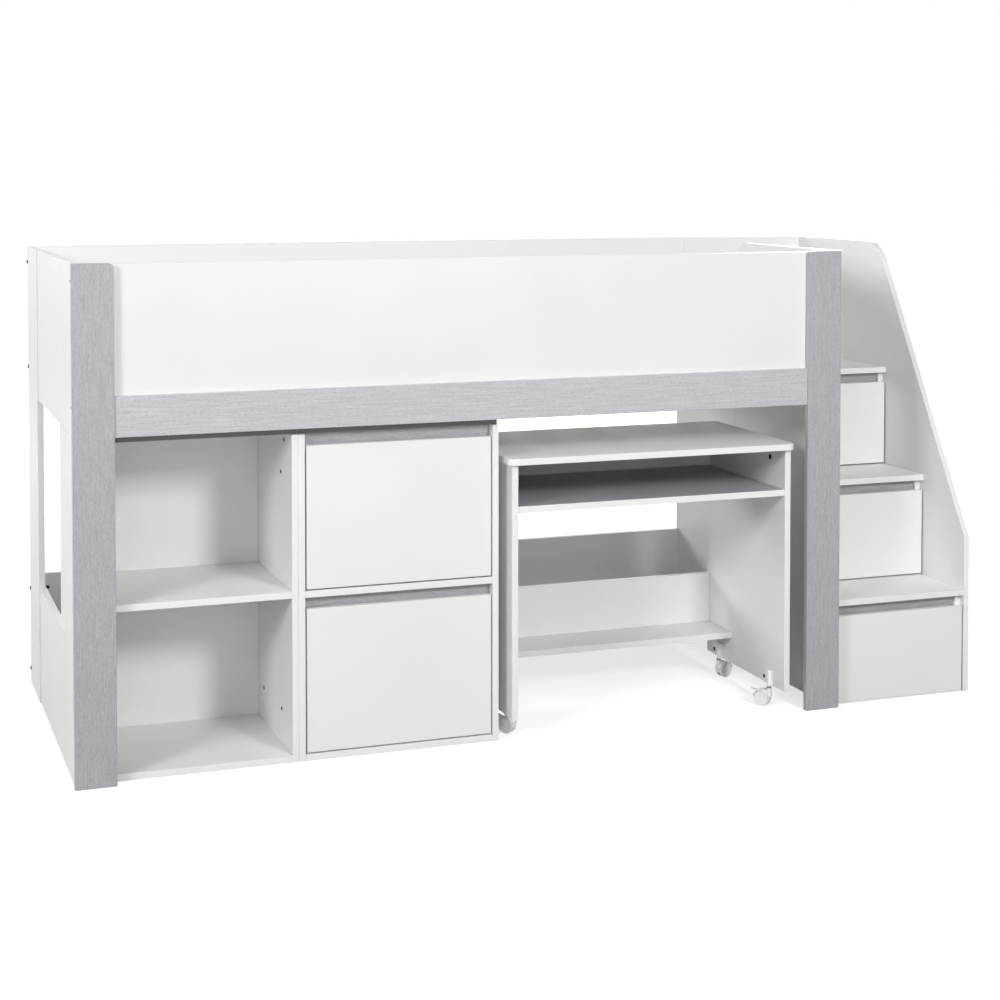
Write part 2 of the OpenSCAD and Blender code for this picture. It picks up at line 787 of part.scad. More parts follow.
module castor_hood(i, braked) {
    color(white) placed() at_castor(i) {
        difference() {
            union() {
                centred_web(web_w) {
                    intersection() {
                        translate([castor_trail, wheel_r]) circle(hood_r1);
                        translate([-hood_r1, web_low_z]) square([4 * hood_r1, 2 * hood_r1]);
                    }
                    translate([-stem_boss_r, hood_low_z])
                        square([2 * stem_boss_r, stem_boss_z - wheel_r]);
                }
                centred_web(2 * hood_half_w) intersection() {
                    translate([castor_trail, wheel_r]) difference() {
                        circle(hood_r1);
                        circle(hood_r0);
                    }
                    translate([-hood_r1, hood_low_z]) square([4 * hood_r1, 2 * hood_r1]);
                }
                translate([0, 0, stem_boss_z])
                    cylinder(h = desk_side_z - seat_gap - stem_boss_z, r = stem_boss_r);
                if (braked) translate(brake_at) rotate([90, 0, 0]) brake_hinge();
            }
            translate([castor_trail, 0, wheel_r]) rotate([90, 0, 0])
                cylinder(h = 2 * web_w, r = axle_r + running_gap, center = true);
        }
        translate([0, 0, desk_side_z - seat_gap - overcut])
            cylinder(h = bracket_h + seat_gap + overcut - 2, r = stem_r);
    }
}
module castor_hood_1() { castor_hood(0, true); }
module castor_hood_2() { castor_hood(1, true); }
module castor_hood_3() { castor_hood(2, false); }
module castor_hood_4() { castor_hood(3, false); }

// Two wheels with rounded treads on one axle
module castor_wheels(i) {
    round_r = 1.5;
    color(white) placed() at_castor(i) translate([castor_trail, 0, wheel_r]) rotate([90, 0, 0]) {
        cylinder(h = 2 * wheel_y0 + 2, r = axle_r, center = true);
        for (side = [0, 1]) mirror([0, 0, side]) translate([0, 0, wheel_y0]) rotate_extrude() {
            square([wheel_r - round_r, wheel_w]);
            translate([0, round_r]) square([wheel_r, wheel_w - 2 * round_r]);
            for (z = [round_r, wheel_w - round_r]) translate([wheel_r - round_r, z]) circle(round_r);
        }
    }
}
module castor_wheels_1() { castor_wheels(0); }
module castor_wheels_2() { castor_wheels(1); }
module castor_wheels_3() { castor_wheels(2); }
module castor_wheels_4() { castor_wheels(3); }

// Foot lever on the hood's pin, with its tab pointing away and a little up
module brake_lever(i) {
    cheek_y = brake_lug_half_w + brake_cheek_gap;
    tab_x = brake_lug_r + 0.5;
    color(white) placed() at_castor(i) translate(brake_at)
        rotate([0, -brake_tilt, 0]) difference() {
            union() {
                for (side = [0, 1]) mirror([0, side, 0]) translate([0, cheek_y + brake_cheek_t, 0])
                    rotate([90, 0, 0]) linear_extrude(brake_cheek_t) {
                        circle(brake_lug_r);
                        translate([0, -brake_tab_t / 2]) square([tab_x + 1, brake_tab_t]);
                    }
                translate([tab_x, -cheek_y - brake_cheek_t, -brake_tab_t / 2])
                    cube([brake_tab_l - tab_x, 2 * (cheek_y + brake_cheek_t), brake_tab_t]);
            }
            rotate([90, 0, 0]) cylinder(h = 4 * cheek_y, r = brake_pin_r + running_gap, center = true);
        }
}
module brake_lever_1() { brake_lever(0); }
module brake_lever_2() { brake_lever(1); }

front_posts();
front_rail();
front_side_board();
left_end_stile();
left_end_upper_panel();
left_end_lower_panel();
left_end_rear_post();
rear_side_board();
rear_low_panel();
right_end_front_panel();
right_end_rear_panel();
slat_bearers();
bed_slats();
frame_bolts();
bookcase_sides();
bookcase_top();
bookcase_bottom();
bookcase_shelf();
bookcase_back();
cabinet_sides();
cabinet_top();
cabinet_divider();
cabinet_bottom();
cabinet_back();
unit_screws();
grip_strips();
stair_outer_panel();
stair_rear_panel();
stair_sides();
stair_tread_1();
stair_tread_2();
stair_tread_3();
drawer_runners();
cabinet_front_lower();
cabinet_front_upper();
stair_front_1();
stair_front_2();
stair_front_3();
cabinet_box_lower();
cabinet_box_upper();
stair_box_1();
stair_box_2();
stair_box_3();
desk_top();
desk_sides();
desk_shelf();
desk_back_boards();
desk_foot_shelf();
castor_brackets();
desk_fittings();
castor_hood_1();
castor_hood_2();
castor_hood_3();
castor_hood_4();
castor_wheels_1();
castor_wheels_2();
castor_wheels_3();
castor_wheels_4();
brake_lever_1();
brake_lever_2();
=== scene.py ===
"""Looks of a cabin bed with a bookcase, a drawer cabinet, a roll-out desk and drawer stairs.

Every piece is drawn in millimetres in the row frame and stored in metres: x runs along the
bed, y towards its rear side and z up, with the origin in the middle of the footprint.
"""

import json
import logging
import math
from collections.abc import Callable, Sequence
from dataclasses import dataclass
from enum import Enum
from typing import Any, NamedTuple

import bmesh
import bpy
from mathutils import Matrix, Vector

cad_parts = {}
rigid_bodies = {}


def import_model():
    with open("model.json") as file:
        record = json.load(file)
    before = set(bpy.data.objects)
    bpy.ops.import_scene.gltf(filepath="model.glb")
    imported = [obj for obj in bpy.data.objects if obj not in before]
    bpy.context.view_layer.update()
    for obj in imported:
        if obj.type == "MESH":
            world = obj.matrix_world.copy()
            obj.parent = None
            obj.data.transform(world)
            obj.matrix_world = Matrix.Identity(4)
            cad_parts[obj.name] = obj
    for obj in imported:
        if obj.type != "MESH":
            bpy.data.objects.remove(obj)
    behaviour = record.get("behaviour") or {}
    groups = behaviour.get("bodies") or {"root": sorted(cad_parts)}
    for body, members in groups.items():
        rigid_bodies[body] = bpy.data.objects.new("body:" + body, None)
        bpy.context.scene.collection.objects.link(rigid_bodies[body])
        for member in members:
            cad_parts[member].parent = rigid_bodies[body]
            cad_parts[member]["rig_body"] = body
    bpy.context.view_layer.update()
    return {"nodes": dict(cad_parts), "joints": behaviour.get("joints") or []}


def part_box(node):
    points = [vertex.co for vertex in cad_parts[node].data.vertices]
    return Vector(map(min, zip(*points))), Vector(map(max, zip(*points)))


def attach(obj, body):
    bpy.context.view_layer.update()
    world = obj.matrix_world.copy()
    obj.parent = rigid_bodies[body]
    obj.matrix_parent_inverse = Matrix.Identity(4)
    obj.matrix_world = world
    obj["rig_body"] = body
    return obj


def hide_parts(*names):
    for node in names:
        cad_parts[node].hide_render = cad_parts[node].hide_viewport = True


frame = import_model()

LOG = logging.getLogger("cabin_bed")
MM = 0.001
STEPS_PER_MM = 100
EDGE_ROUND = 0.9
GLUE_LINE = 0.35
PAST = 1.0
SHARP_ANGLE = math.radians(32)
CURVE_STEP = math.radians(5)
FEWEST_STEPS = 4
FLAT = 0.9999
SLOT_WIDTH = 0.2
SCREW_SIDES = 40
MATERIAL_PLACES = 5
CORE_PLACE = 3
ONE_FINISH = (0, 0, 0)
NO_ROUND = (0, 0, 0, 0)
CLOUD_TINT = 0.9
CLOUD_SCALE = 4.0
GRAIN_TINT = 0.55
WEAR_LAYER = "edge_wear"

RIGHT = Vector((1, 0, 0))
BACK = Vector((0, 1, 0))
UP = Vector((0, 0, 1))

Colour = tuple[float, float, float]
Outline = list[tuple[float, float]]
Socket = bpy.types.NodeSocket
Tree = bpy.types.NodeTree


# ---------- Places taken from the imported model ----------


class Axis(Enum):
    """Axis that a board's thickness or a profile's length runs along."""

    X = 0
    Y = 1
    Z = 2

    def point(self, u: float, v: float, w: float) -> Vector:
        """Point at (u, v) in the plane across this axis and w along it."""
        return Vector([(w, u, v), (u, w, v), (u, v, w)][self.value])

    def across(self) -> tuple[int, int]:
        """Indices of the two other axes."""
        return [(1, 2), (0, 2), (0, 1)][self.value]


class Box(NamedTuple):
    """Box of one solid, in millimetres."""

    lo: Vector
    hi: Vector

    @property
    def size(self) -> Vector:
        """Lengths of the three sides."""
        return self.hi - self.lo

    @property
    def middle(self) -> Vector:
        """Centre of the box."""
        return (self.lo + self.hi) / 2

    @property
    def thin(self) -> Axis:
        """Axis of the shortest side."""
        return Axis(min(range(3), key=lambda i: self.size[i]))

    def span(self, axis: Axis) -> tuple[float, float]:
        """Lowest and highest value along an axis."""
        return self.lo[axis.value], self.hi[axis.value]

    @property
    def left(self) -> Vector:
        """Middle of the left side."""
        return Vector((self.lo.x, self.middle.y, self.middle.z))

    def facing(self, axis: Axis, centre: float = 0.0) -> tuple[Vector, Vector]:
        """Finds the side that faces a centre.

        Args:
            axis: Axis that the side lies across.
            centre: Where the centre lies on it.

        Returns:
            Middle of that side, and the direction from it into the box.
        """
        high = self.middle[axis.value] < centre
        place, into = self.middle, Vector()
        place[axis.value], into[axis.value] = self.span(axis)[high], -1 if high else 1
        return place, into


def cad_boxes(node: str) -> list[Box]:
    """Finds the box of each separate solid in a CAD node.

    Args:
        node: Name of the CAD node.

    Returns:
        The boxes in millimetres, in order of their lowest corner.
    """
    mesh = frame["nodes"][node].data
    places: dict[tuple[int, ...], int] = {}
    index = [
        places.setdefault(tuple(round(c / MM * STEPS_PER_MM) for c in v.co), len(places))
        for v in mesh.vertices
    ]
    parent = list(range(len(places)))

    def root(i: int) -> int:
        """Finds the first place of a solid.

        Args:
            i: Any of its places.

        Returns:
            The place that stands for the solid.
        """
        while parent[i] != i:
            parent[i] = parent[parent[i]]
            i = parent[i]
        return i

    for polygon in mesh.polygons:
        first = root(index[polygon.vertices[0]])
        for v in polygon.vertices[1:]:
            parent[root(index[v])] = first
    solids: dict[int, list[tuple[int, ...]]] = {}
    for key, i in places.items():
        solids.setdefault(root(i), []).append(key)
    boxes = [
        Box(
            Vector([min(c) / STEPS_PER_MM for c in zip(*keys)]),
            Vector([max(c) / STEPS_PER_MM for c in zip(*keys)]),
        )
        for keys in solids.values()
    ]
    return sorted(boxes, key=lambda b: tuple(b.lo))


def cad_box(node: str) -> Box:
    """Box of a whole CAD node, in millimetres."""
    lo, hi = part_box(node)
    return Box(lo / MM, hi / MM)


def joint_place(name: str) -> Vector:
    """Place of a joint, in millimetres."""
    return Vector(next(j for j in frame["joints"] if j["name"] == name)["pos_m"]) / MM


# ---------- Outlines and meshes ----------


def filleted(corners: Sequence[tuple[float, float, float]]) -> Outline:
    """Draws a closed outline with rounded corners.

    Args:
        corners: Each corner as (u, v, radius).

    Returns:
        The outline's points in order.
    """
    points: Outline = []
    for i, (u, v, radius) in enumerate(corners):
        if radius <= 0:
            points.append((u, v))
            continue
        here = Vector((u, v))
        back = (Vector(corners[i - 1][:2]) - here).normalized()
        on = (Vector(corners[(i + 1) % len(corners)][:2]) - here).normalized()
        half = back.angle(on) / 2
        centre = here + (back + on).normalized() * (radius / math.sin(half))
        start = here + back * (radius / math.tan(half)) - centre
        end = here + on * (radius / math.tan(half)) - centre
        first = math.atan2(start.y, start.x)
        sweep = math.remainder(math.atan2(end.y, end.x) - first, math.tau)
        steps = max(FEWEST_STEPS, math.ceil(abs(sweep) / CURVE_STEP))
        for k in range(steps + 1):
            angle = first + sweep * k / steps
            out_u, out_v = radius * math.cos(angle), radius * math.sin(angle)
            points.append((centre.x + out_u, centre.y + out_v))
    return points


class Form(Enum):
    """Outline of a turned part's ring or of a screw's recess."""

    ROUND = "round"
    HEX = "hex"
    SLOT = "slot"
    CROSS = "cross"

    def reach(self, angle: float) -> float:
        """Distance of the outline from its centre.

        Args:
            angle: Direction in radians.

        Returns:
            The distance, where 1 is the round ring's radius.
        """
        if self is Form.HEX:
            return math.cos(math.pi / 6) / math.cos(math.fmod(angle, math.pi / 3) - math.pi / 6)
        tiny = 1e-9
        c, s = abs(math.cos(angle)) + tiny, abs(math.sin(angle)) + tiny
        slot = min(1 / c, SLOT_WIDTH / s)
        if self is Form.SLOT:
            return slot
        if self is Form.CROSS:
            return max(slot, min(1 / s, SLOT_WIDTH / c))
        return 1.0


class Ring(NamedTuple):
    """Ring of a turned part: radius and height along its axis, in millimetres."""

    radius: float
    height: float
    form: Form = Form.ROUND


def rings(*pairs: tuple[float, float], form: Form = Form.ROUND) -> list[Ring]:
    """Rings of one form, from pairs of radius and height."""
    return [Ring(radius, height, form) for radius, height in pairs]


class Shape:
    """Mesh under construction, in millimetres."""

    def __init__(self) -> None:
        """Starts an empty mesh with a layer that marks rounded edges."""
        self.bm = bmesh.new()
        self.wear = self.bm.loops.layers.float.new(WEAR_LAYER)

    def plate(
        self,
        outline: Outline,
        axis: Axis,
        span: tuple[float, float],
        ease: float = EDGE_ROUND,
        finishes: tuple[int, int, int] = (0, 1, 2),
        segments: int = 2,
    ) -> None:
        """Adds a plate with rounded edges.

        Args:
            outline: Closed outline across the axis.
            axis: Axis of the thickness.
            span: Where the plate starts and ends along the axis.
            ease: Radius of its edges.
            finishes: Material indices of the faces, the glue line and the edge band.
            segments: Steps of each rounded edge.
        """
        bm, known = self.bm, set(self.bm.faces)
        base = bm.faces.new([bm.verts.new(axis.point(u, v, span[0])) for u, v in outline])
        moved = bmesh.ops.extrude_face_region(bm, geom=[base])["geom"]
        step = axis.point(0, 0, span[1] - span[0])
        bmesh.ops.translate(
            bm, vec=step, verts=[e for e in moved if isinstance(e, bmesh.types.BMVert)]
        )
        faces = [f for f in bm.faces if f not in known]
        bmesh.ops.recalc_face_normals(bm, faces=faces)
        if ease > 0:
            edges = {e for f in faces for e in f.edges if e.calc_face_angle(0) > SHARP_ANGLE}
            rounds = bmesh.ops.bevel(
                bm,
                geom=list(edges),
                offset=ease,
                segments=segments,
                profile=0.5,
                affect="EDGES",
                clamp_overlap=True,
            )["faces"]
            for loop in (loop for f in rounds for loop in f.loops):
                loop[self.wear] = 1.0
        wide = []
        for f in bm.faces:
            if f in known:
                continue
            f.normal_update()
            flat = abs(f.normal[axis.value]) > FLAT
            f.material_index = finishes[0] if flat else finishes[2]
            if flat:
                wide.append(f)
        if finishes[1] != finishes[0]:
            ring = bmesh.ops.inset_region(
                bm, faces=wide, thickness=GLUE_LINE, use_even_offset=True
            )
            for f in ring["faces"]:
                f.material_index = finishes[1]

    def board(
        self,
        box: Box,
        axis: Axis | None = None,
        radii: tuple[float, float, float, float] = NO_ROUND,
        **edges: Any,
    ) -> None:
        """Adds a rectangular plate.

        Args:
            box: Its box.
            axis: Axis of its thickness, by default the one of its shortest side.
            radii: Corner radii at low-low, high-low, high-high and low-high.
            **edges: Radius, finishes and steps of its edges, as plate takes them.
        """
        axis = axis or box.thin
        a, b = axis.across()
        spots = [(box.lo[a], box.lo[b]), (box.hi[a], box.lo[b])]
        spots += [(box.hi[a], box.hi[b]), (box.lo[a], box.hi[b])]
        outline = filleted([(u, v, r) for (u, v), r in zip(spots, radii)])
        self.plate(outline, axis, box.span(axis), **edges)

    def turned(
        self,
        at: Vector,
        axis: Vector,
        profile: Sequence[Ring],
        segments: int = 32,
        finish: int = 0,
        closed: bool = False,
    ) -> None:
        """Adds a turned body, or one whose rings have another form.

        Args:
            at: Where height 0 lies.
            axis: Direction of the height.
            profile: Its rings in order.
            segments: Points in each ring.
            finish: Material index.
            closed: Whether the last ring joins the first one, around a bore.
        """
        along = axis.normalized()
        side = along.orthogonal().normalized()
        other = along.cross(side)
        loops = []
        for ring in profile:
            loop = []
            for k in range(segments):
                angle = math.tau * k / segments
                reach = ring.radius * ring.form.reach(angle)
                out = side * math.cos(angle) + other * math.sin(angle)
                loop.append(self.bm.verts.new(at + along * ring.height + out * reach))
            loops.append(loop)
        pairs = list(zip(loops, loops[1:] + loops[:1]))
        faces = []
        for a, b in pairs if closed else pairs[:-1]:
            for k in range(segments):
                n = (k + 1) % segments
                faces.append(self.bm.faces.new((a[k], a[n], b[n], b[k])))
        if not closed:
            faces += [self.bm.faces.new(loops[0][::-1]), self.bm.faces.new(loops[-1])]
        bmesh.ops.recalc_face_normals(self.bm, faces=faces)
        for f in faces:
            f.material_index = finish

    def drill(
        self,
        at: Vector,
        axis: Vector,
        radius: float,
        depth: float,
        segments: int = 32,
        finish: int = CORE_PLACE,
    ) -> None:
        """Adds the rod that a round hole is cut with.

        Args:
            at: Where the rod starts.
            axis: Direction that it runs in.
            radius: Radius of the hole.
            depth: Length of the rod.
            segments: Points around it.
            finish: Material index of the hole's wall.
        """
        self.turned(at, axis, rings((radius, 0), (radius, depth)), segments, finish)

    def add(self, other: "Shape", place: Matrix | None = None) -> None:
        """Takes in another shape.

        Args:
            other: The shape to add, which is used up.
            place: Where it goes.
        """
        if place is not None:
            bmesh.ops.transform(other.bm, matrix=place, verts=other.bm.verts)
        mesh = bpy.data.meshes.new("part")
        other.bm.to_mesh(mesh)
        self.bm.from_mesh(mesh)
        bpy.data.meshes.remove(mesh)
        other.bm.free()
        self.wear = self.bm.loops.layers.float.get(WEAR_LAYER)

    def combine(self, tool: "Shape", operation: str = "DIFFERENCE") -> None:
        """Cuts another shape out of this one, or joins it on.

        Args:
            tool: The other shape, which is used up.
            operation: DIFFERENCE or UNION.
        """
        objects = []
        for shape in (self, tool):
            mesh = bpy.data.meshes.new("part")
            shape.bm.to_mesh(mesh)
            shape.bm.free()
            for _ in range(MATERIAL_PLACES):
                mesh.materials.append(None)
            objects.append(bpy.data.objects.new("part", mesh))
            bpy.context.scene.collection.objects.link(objects[-1])
        cut = objects[0].modifiers.new("cut", "BOOLEAN")
        cut.operation, cut.solver, cut.object = operation, "EXACT", objects[1]
        bpy.context.view_layer.update()
        result = objects[0].evaluated_get(bpy.context.evaluated_depsgraph_get())
        self.bm = bmesh.new()
        self.bm.from_mesh(result.to_mesh())
        result.to_mesh_clear()
        self.wear = self.bm.loops.layers.float.get(WEAR_LAYER)
        for obj in objects:
            bpy.data.meshes.remove(obj.data)


def finished(
    name: str,
    shape: Shape,
    materials: Sequence[bpy.types.Material],
    slot: str,
    body: str = "",
    replaced: Sequence[str] = (),
) -> bpy.types.Object:
    """Turns a shape into a piece of the object.

    Args:
        name: Name of the piece.
        shape: Its mesh, in millimetres, which is used up.
        materials: Materials by index.
        slot: The record's material slot.
        body: CAD body that it rides on; by default the body of the first replaced node.
        replaced: CAD nodes that it stands for.

    Returns:
        The piece.
    """
    mesh = bpy.data.meshes.new(name)
    bmesh.ops.scale(shape.bm, vec=(MM, MM, MM), verts=shape.bm.verts)
    shape.bm.to_mesh(mesh)
    shape.bm.free()
    for material in materials:
        mesh.materials.append(material)
    mesh.shade_smooth()
    mesh.set_sharp_from_angle(angle=SHARP_ANGLE)
    piece = bpy.data.objects.new(name, mesh)
    bpy.context.scene.collection.objects.link(piece)
    weighted = piece.modifiers.new("flat_faces", "WEIGHTED_NORMAL")
    weighted.keep_sharp = True
    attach(piece, body or frame["nodes"][replaced[0]]["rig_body"])
    if replaced:
        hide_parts(*replaced)
    LOG.info("%s: %d faces, slot %s", name, len(mesh.polygons), slot)
    return piece


# ---------- Finishes ----------


class Grain(Enum):
    """Direction of a board's grain, as the stretch of its pattern along each axis."""

    NONE = (1.0, 1.0, 1.0)
    ALONG_X = (0.2, 1.0, 1.0)
    UPRIGHT = (1.0, 1.0, 0.2)


class Graph:
    """Node tree while it is being wired."""

    def __init__(self, tree: Tree) -> None:
        """Holds the tree."""
        self.tree = tree

    def feed(self, value: Any, socket: Socket) -> None:
        """Links a socket to an input, or writes a plain value there.

        Args:
            value: The socket or plain value.
            socket: The input.
        """
        if isinstance(value, Socket):
            self.tree.links.new(value, socket)
        else:
            socket.default_value = value

    def node(self, kind: str, inputs: dict[Any, Any], **settings: Any) -> bpy.types.Node:
        """Adds a node.

        Args:
            kind: Its type, without the ShaderNode prefix.
            inputs: Sockets or plain values for its inputs.
            **settings: Its other properties.

        Returns:
            The node.
        """
        node = self.tree.nodes.new("ShaderNode" + kind)
        for name, value in settings.items():
            setattr(node, name, value)
        for name, value in inputs.items():
            self.feed(value, node.inputs[name])
        return node

    def math(self, operation: str, a: Any, b: Any = 0.0, clamp: bool = False) -> Socket:
        """Result of a sum with one or two values."""
        inputs = {0: a, 1: b}
        return self.node("Math", inputs, operation=operation, use_clamp=clamp).outputs[0]

    def noise(
        self, place: Socket, scale: Any, detail: float = 2.0, roughness: float = 0.5
    ) -> Socket:
        """Noise value at a place."""
        inputs = {"Vector": place, "Scale": scale, "Detail": detail, "Roughness": roughness}
        return self.node("TexNoise", inputs).outputs[0]

    def mix(self, factor: Any, a: Any, b: Any) -> Socket:
        """Colour between two colours."""
        return self.node("Mix", {0: factor, 6: a, 7: b}, data_type="RGBA").outputs[2]

    def remap(
        self, value: Socket, low: float, high: float, out: tuple[Any, Any] = (0.0, 1.0)
    ) -> Socket:
        """Value taken from one range to another, kept within it."""
        names = ("Value", "From Min", "From Max", "To Min", "To Max")
        return self.node("MapRange", dict(zip(names, (value, low, high, *out)))).outputs[0]

    def scaled(self, place: Socket, stretch: Any) -> Socket:
        """Place with each coordinate multiplied by the stretch."""
        return self.node("VectorMath", {0: place, 1: stretch}, operation="MULTIPLY").outputs[0]


def wire_streaks(g: Graph, i: dict[str, Socket]) -> dict[str, Socket]:
    """Fine straight grain: short dashes over longer lines, both stretched along the board.

    Args:
        g: Graph of the group.
        i: The group's inputs.

    Returns:
        The group's outputs.
    """
    dash_scale, line_scale, dash_share = 640.0, 380.0, 0.6
    place = g.scaled(i["Position"], i["Stretch"])
    dashes = g.noise(place, dash_scale, roughness=0.6)
    long_lines = g.noise(g.scaled(place, i["Stretch"]), line_scale)
    both = g.math("MULTIPLY", dashes, dash_share)
    lines = g.math("ADD", both, g.math("MULTIPLY", long_lines, 1 - dash_share))
    mask = g.remap(lines, low=0.38, high=0.62)
    colour = g.mix(g.math("MULTIPLY", mask, i["Contrast"]), i["Colour"], i["Line"])
    return {"Colour": colour, "Mask": mask}


def wire_mottle(g: Graph, i: dict[str, Socket]) -> dict[str, Socket]:
    """Faint clouds that make a colour a little lighter and darker.

    Args:
        g: Graph of the group.
        i: The group's inputs.

    Returns:
        The group's outputs.
    """
    clouds = g.remap(g.noise(i["Position"], i["Scale"], detail=3.0), low=0.3, high=0.7)
    factor = g.math("MULTIPLY", clouds, i["Amount"])
    return {"Colour": g.mix(factor, i["Colour"], i["Tint"])}


def wire_handling(g: Graph, i: dict[str, Socket]) -> dict[str, Socket]:
    """Roughness with rubbed and greasy patches.

    Args:
        g: Graph of the group.
        i: The group's inputs.

    Returns:
        The group's outputs.
    """
    patches = g.noise(i["Position"], scale=9.0, detail=4.0, roughness=0.62)
    low = g.math("SUBTRACT", i["Roughness"], i["Spread"])
    high = g.math("ADD", i["Roughness"], i["Spread"])
    return {"Roughness": g.remap(patches, 0.32, 0.68, out=(low, high))}


def wire_pearl(g: Graph, i: dict[str, Socket]) -> dict[str, Socket]:
    """Height of a fine pressed or moulded surface.

    Args:
        g: Graph of the group.
        i: The group's inputs.

    Returns:
        The group's outputs.
    """
    fine = g.noise(i["Position"], i["Scale"], roughness=0.6)
    wide = g.noise(i["Position"], scale=60.0, detail=1.0)
    return {"Height": g.math("ADD", fine, g.math("MULTIPLY", wide, i["Wave"]))}


def wire_wear(g: Graph, i: dict[str, Socket]) -> dict[str, Socket]:
    """Rubbed places along the rounded edges.

    Args:
        g: Graph of the group.
        i: The group's inputs.

    Returns:
        The group's outputs.
    """
    edge = g.node("Attribute", {}, attribute_name=WEAR_LAYER).outputs["Fac"]
    spots = g.noise(i["Position"], scale=240.0, detail=4.0, roughness=0.65)
    rubbed = g.math("MULTIPLY", edge, g.remap(spots, low=0.48, high=0.62))
    mask = g.math("MULTIPLY", rubbed, i["Amount"])
    return {"Colour": g.mix(mask, i["Colour"], i["Worn"]), "Mask": mask}


def wire_pine(g: Graph, i: dict[str, Socket]) -> dict[str, Socket]:
    """Planed pine with growth rings and a few knots, with its length along Y.

    Args:
        g: Graph of the group.
        i: The group's inputs.

    Returns:
        The group's outputs.
    """
    late_power, late_share = 2.2, 0.75
    place = g.scaled(i["Position"], (1.0, 0.06, 1.0))
    bend = g.noise(g.scaled(i["Position"], (6.0, 1.2, 6.0)), scale=2.0)
    sway = {0: place, 1: g.scaled(bend, (0.05, 0.0, 0.05))}
    shift = g.node("VectorMath", sway, operation="ADD").outputs[0]
    bands = {"Vector": shift, "Scale": 62.0, "Distortion": 2.5, "Detail": 2.0}
    growth = g.node(
        "TexWave", bands, wave_type="BANDS", bands_direction="X", wave_profile="SAW"
    ).outputs[1]
    fibre = g.noise(g.scaled(i["Position"], (1.0, 0.02, 1.0)), scale=1400.0)
    late = g.math("MULTIPLY", g.math("POWER", growth, late_power), late_share)
    tone = g.math("ADD", late, g.math("MULTIPLY", fibre, 1 - late_share), clamp=True)
    cells = {"Vector": g.scaled(i["Position"], (1.0, 0.55, 1.0)), "Scale": 5.5}
    spots = g.node("TexVoronoi", cells | {"Randomness": 1.0}).outputs["Distance"]
    knot = g.remap(spots, 0.028, 0.075, out=(1.0, 0.0))
    wood = g.mix(tone, i["Light"], i["Dark"])
    return {"Colour": g.mix(knot, wood, i["Knot"]), "Height": tone, "Tone": tone}


class Effect(NamedTuple):
    """Effect that several materials share: its inputs, its outputs and its wiring."""

    takes: dict[str, tuple[str, Any]]
    gives: dict[str, str]
    wire: Callable[[Graph, dict[str, Socket]], dict[str, Socket]]


PLAIN = ("Color", (1.0, 1.0, 1.0, 1.0))
SECOND = ("Color", (0.5, 0.5, 0.5, 1.0))
HALF = ("Float", 0.5)
EFFECTS = {
    "straight_grain": Effect(
        {"Stretch": ("Vector", (1, 1, 1)), "Colour": PLAIN, "Line": SECOND, "Contrast": HALF},
        {"Colour": "Color", "Mask": "Float"},
        wire_streaks,
    ),
    "mottle": Effect(
        {"Scale": ("Float", 5.0), "Colour": PLAIN, "Tint": SECOND, "Amount": HALF},
        {"Colour": "Color"},
        wire_mottle,
    ),
    "handling": Effect(
        {"Roughness": ("Float", 0.4), "Spread": ("Float", 0.05)},
        {"Roughness": "Float"},
        wire_handling,
    ),
    "pressed_texture": Effect(
        {"Scale": ("Float", 900.0), "Wave": HALF}, {"Height": "Float"}, wire_pearl
    ),
    "edge_rub": Effect(
        {"Colour": PLAIN, "Worn": SECOND, "Amount": HALF},
        {"Colour": "Color", "Mask": "Float"},
        wire_wear,
    ),
    "planed_pine": Effect(
        {"Light": PLAIN, "Dark": SECOND, "Knot": SECOND},
        {"Colour": "Color", "Height": "Float", "Tone": "Float"},
        wire_pine,
    ),
}


def effect_group(name: str) -> Tree:
    """Builds the node group of an effect once.

    Args:
        name: Name of the effect.

    Returns:
        The group.
    """
    if name in bpy.data.node_groups:
        return bpy.data.node_groups[name]
    made = EFFECTS[name]
    tree = bpy.data.node_groups.new(name, "ShaderNodeTree")
    takes = {"Position": ("Vector", None)} | made.takes
    for key, (kind, default) in takes.items():
        socket = tree.interface.new_socket(
            name=key, in_out="INPUT", socket_type="NodeSocket" + kind
        )
        if default is not None:
            socket.default_value = default
    for key, kind in made.gives.items():
        tree.interface.new_socket(name=key, in_out="OUTPUT", socket_type="NodeSocket" + kind)
    source = tree.nodes.new("NodeGroupInput")
    sink = tree.nodes.new("NodeGroupOutput")
    g = Graph(tree)
    for key, value in made.wire(g, {key: source.outputs[key] for key in takes}).items():
        g.feed(value, sink.inputs[key])
    return tree


def effect(g: Graph, name: str, place: Socket, **values: Any) -> bpy.types.bpy_prop_collection:
    """Places the node group of an effect in a material.

    Args:
        g: The material's graph.
        name: Name of the effect.
        place: Place on the piece.
        **values: Sockets or plain values for its other inputs.

    Returns:
        The group's outputs.
    """
    node = g.node("Group", {})
    node.node_tree = effect_group(name)
    for key, value in ({"Position": place} | values).items():
        g.feed(value, node.inputs[key])
    return node.outputs


def rgba(colour: Colour, factor: float = 1.0) -> tuple[float, float, float, float]:
    """Colour with its alpha, made lighter or darker by a factor."""
    return (*(min(1.0, c * factor) for c in colour), 1.0)


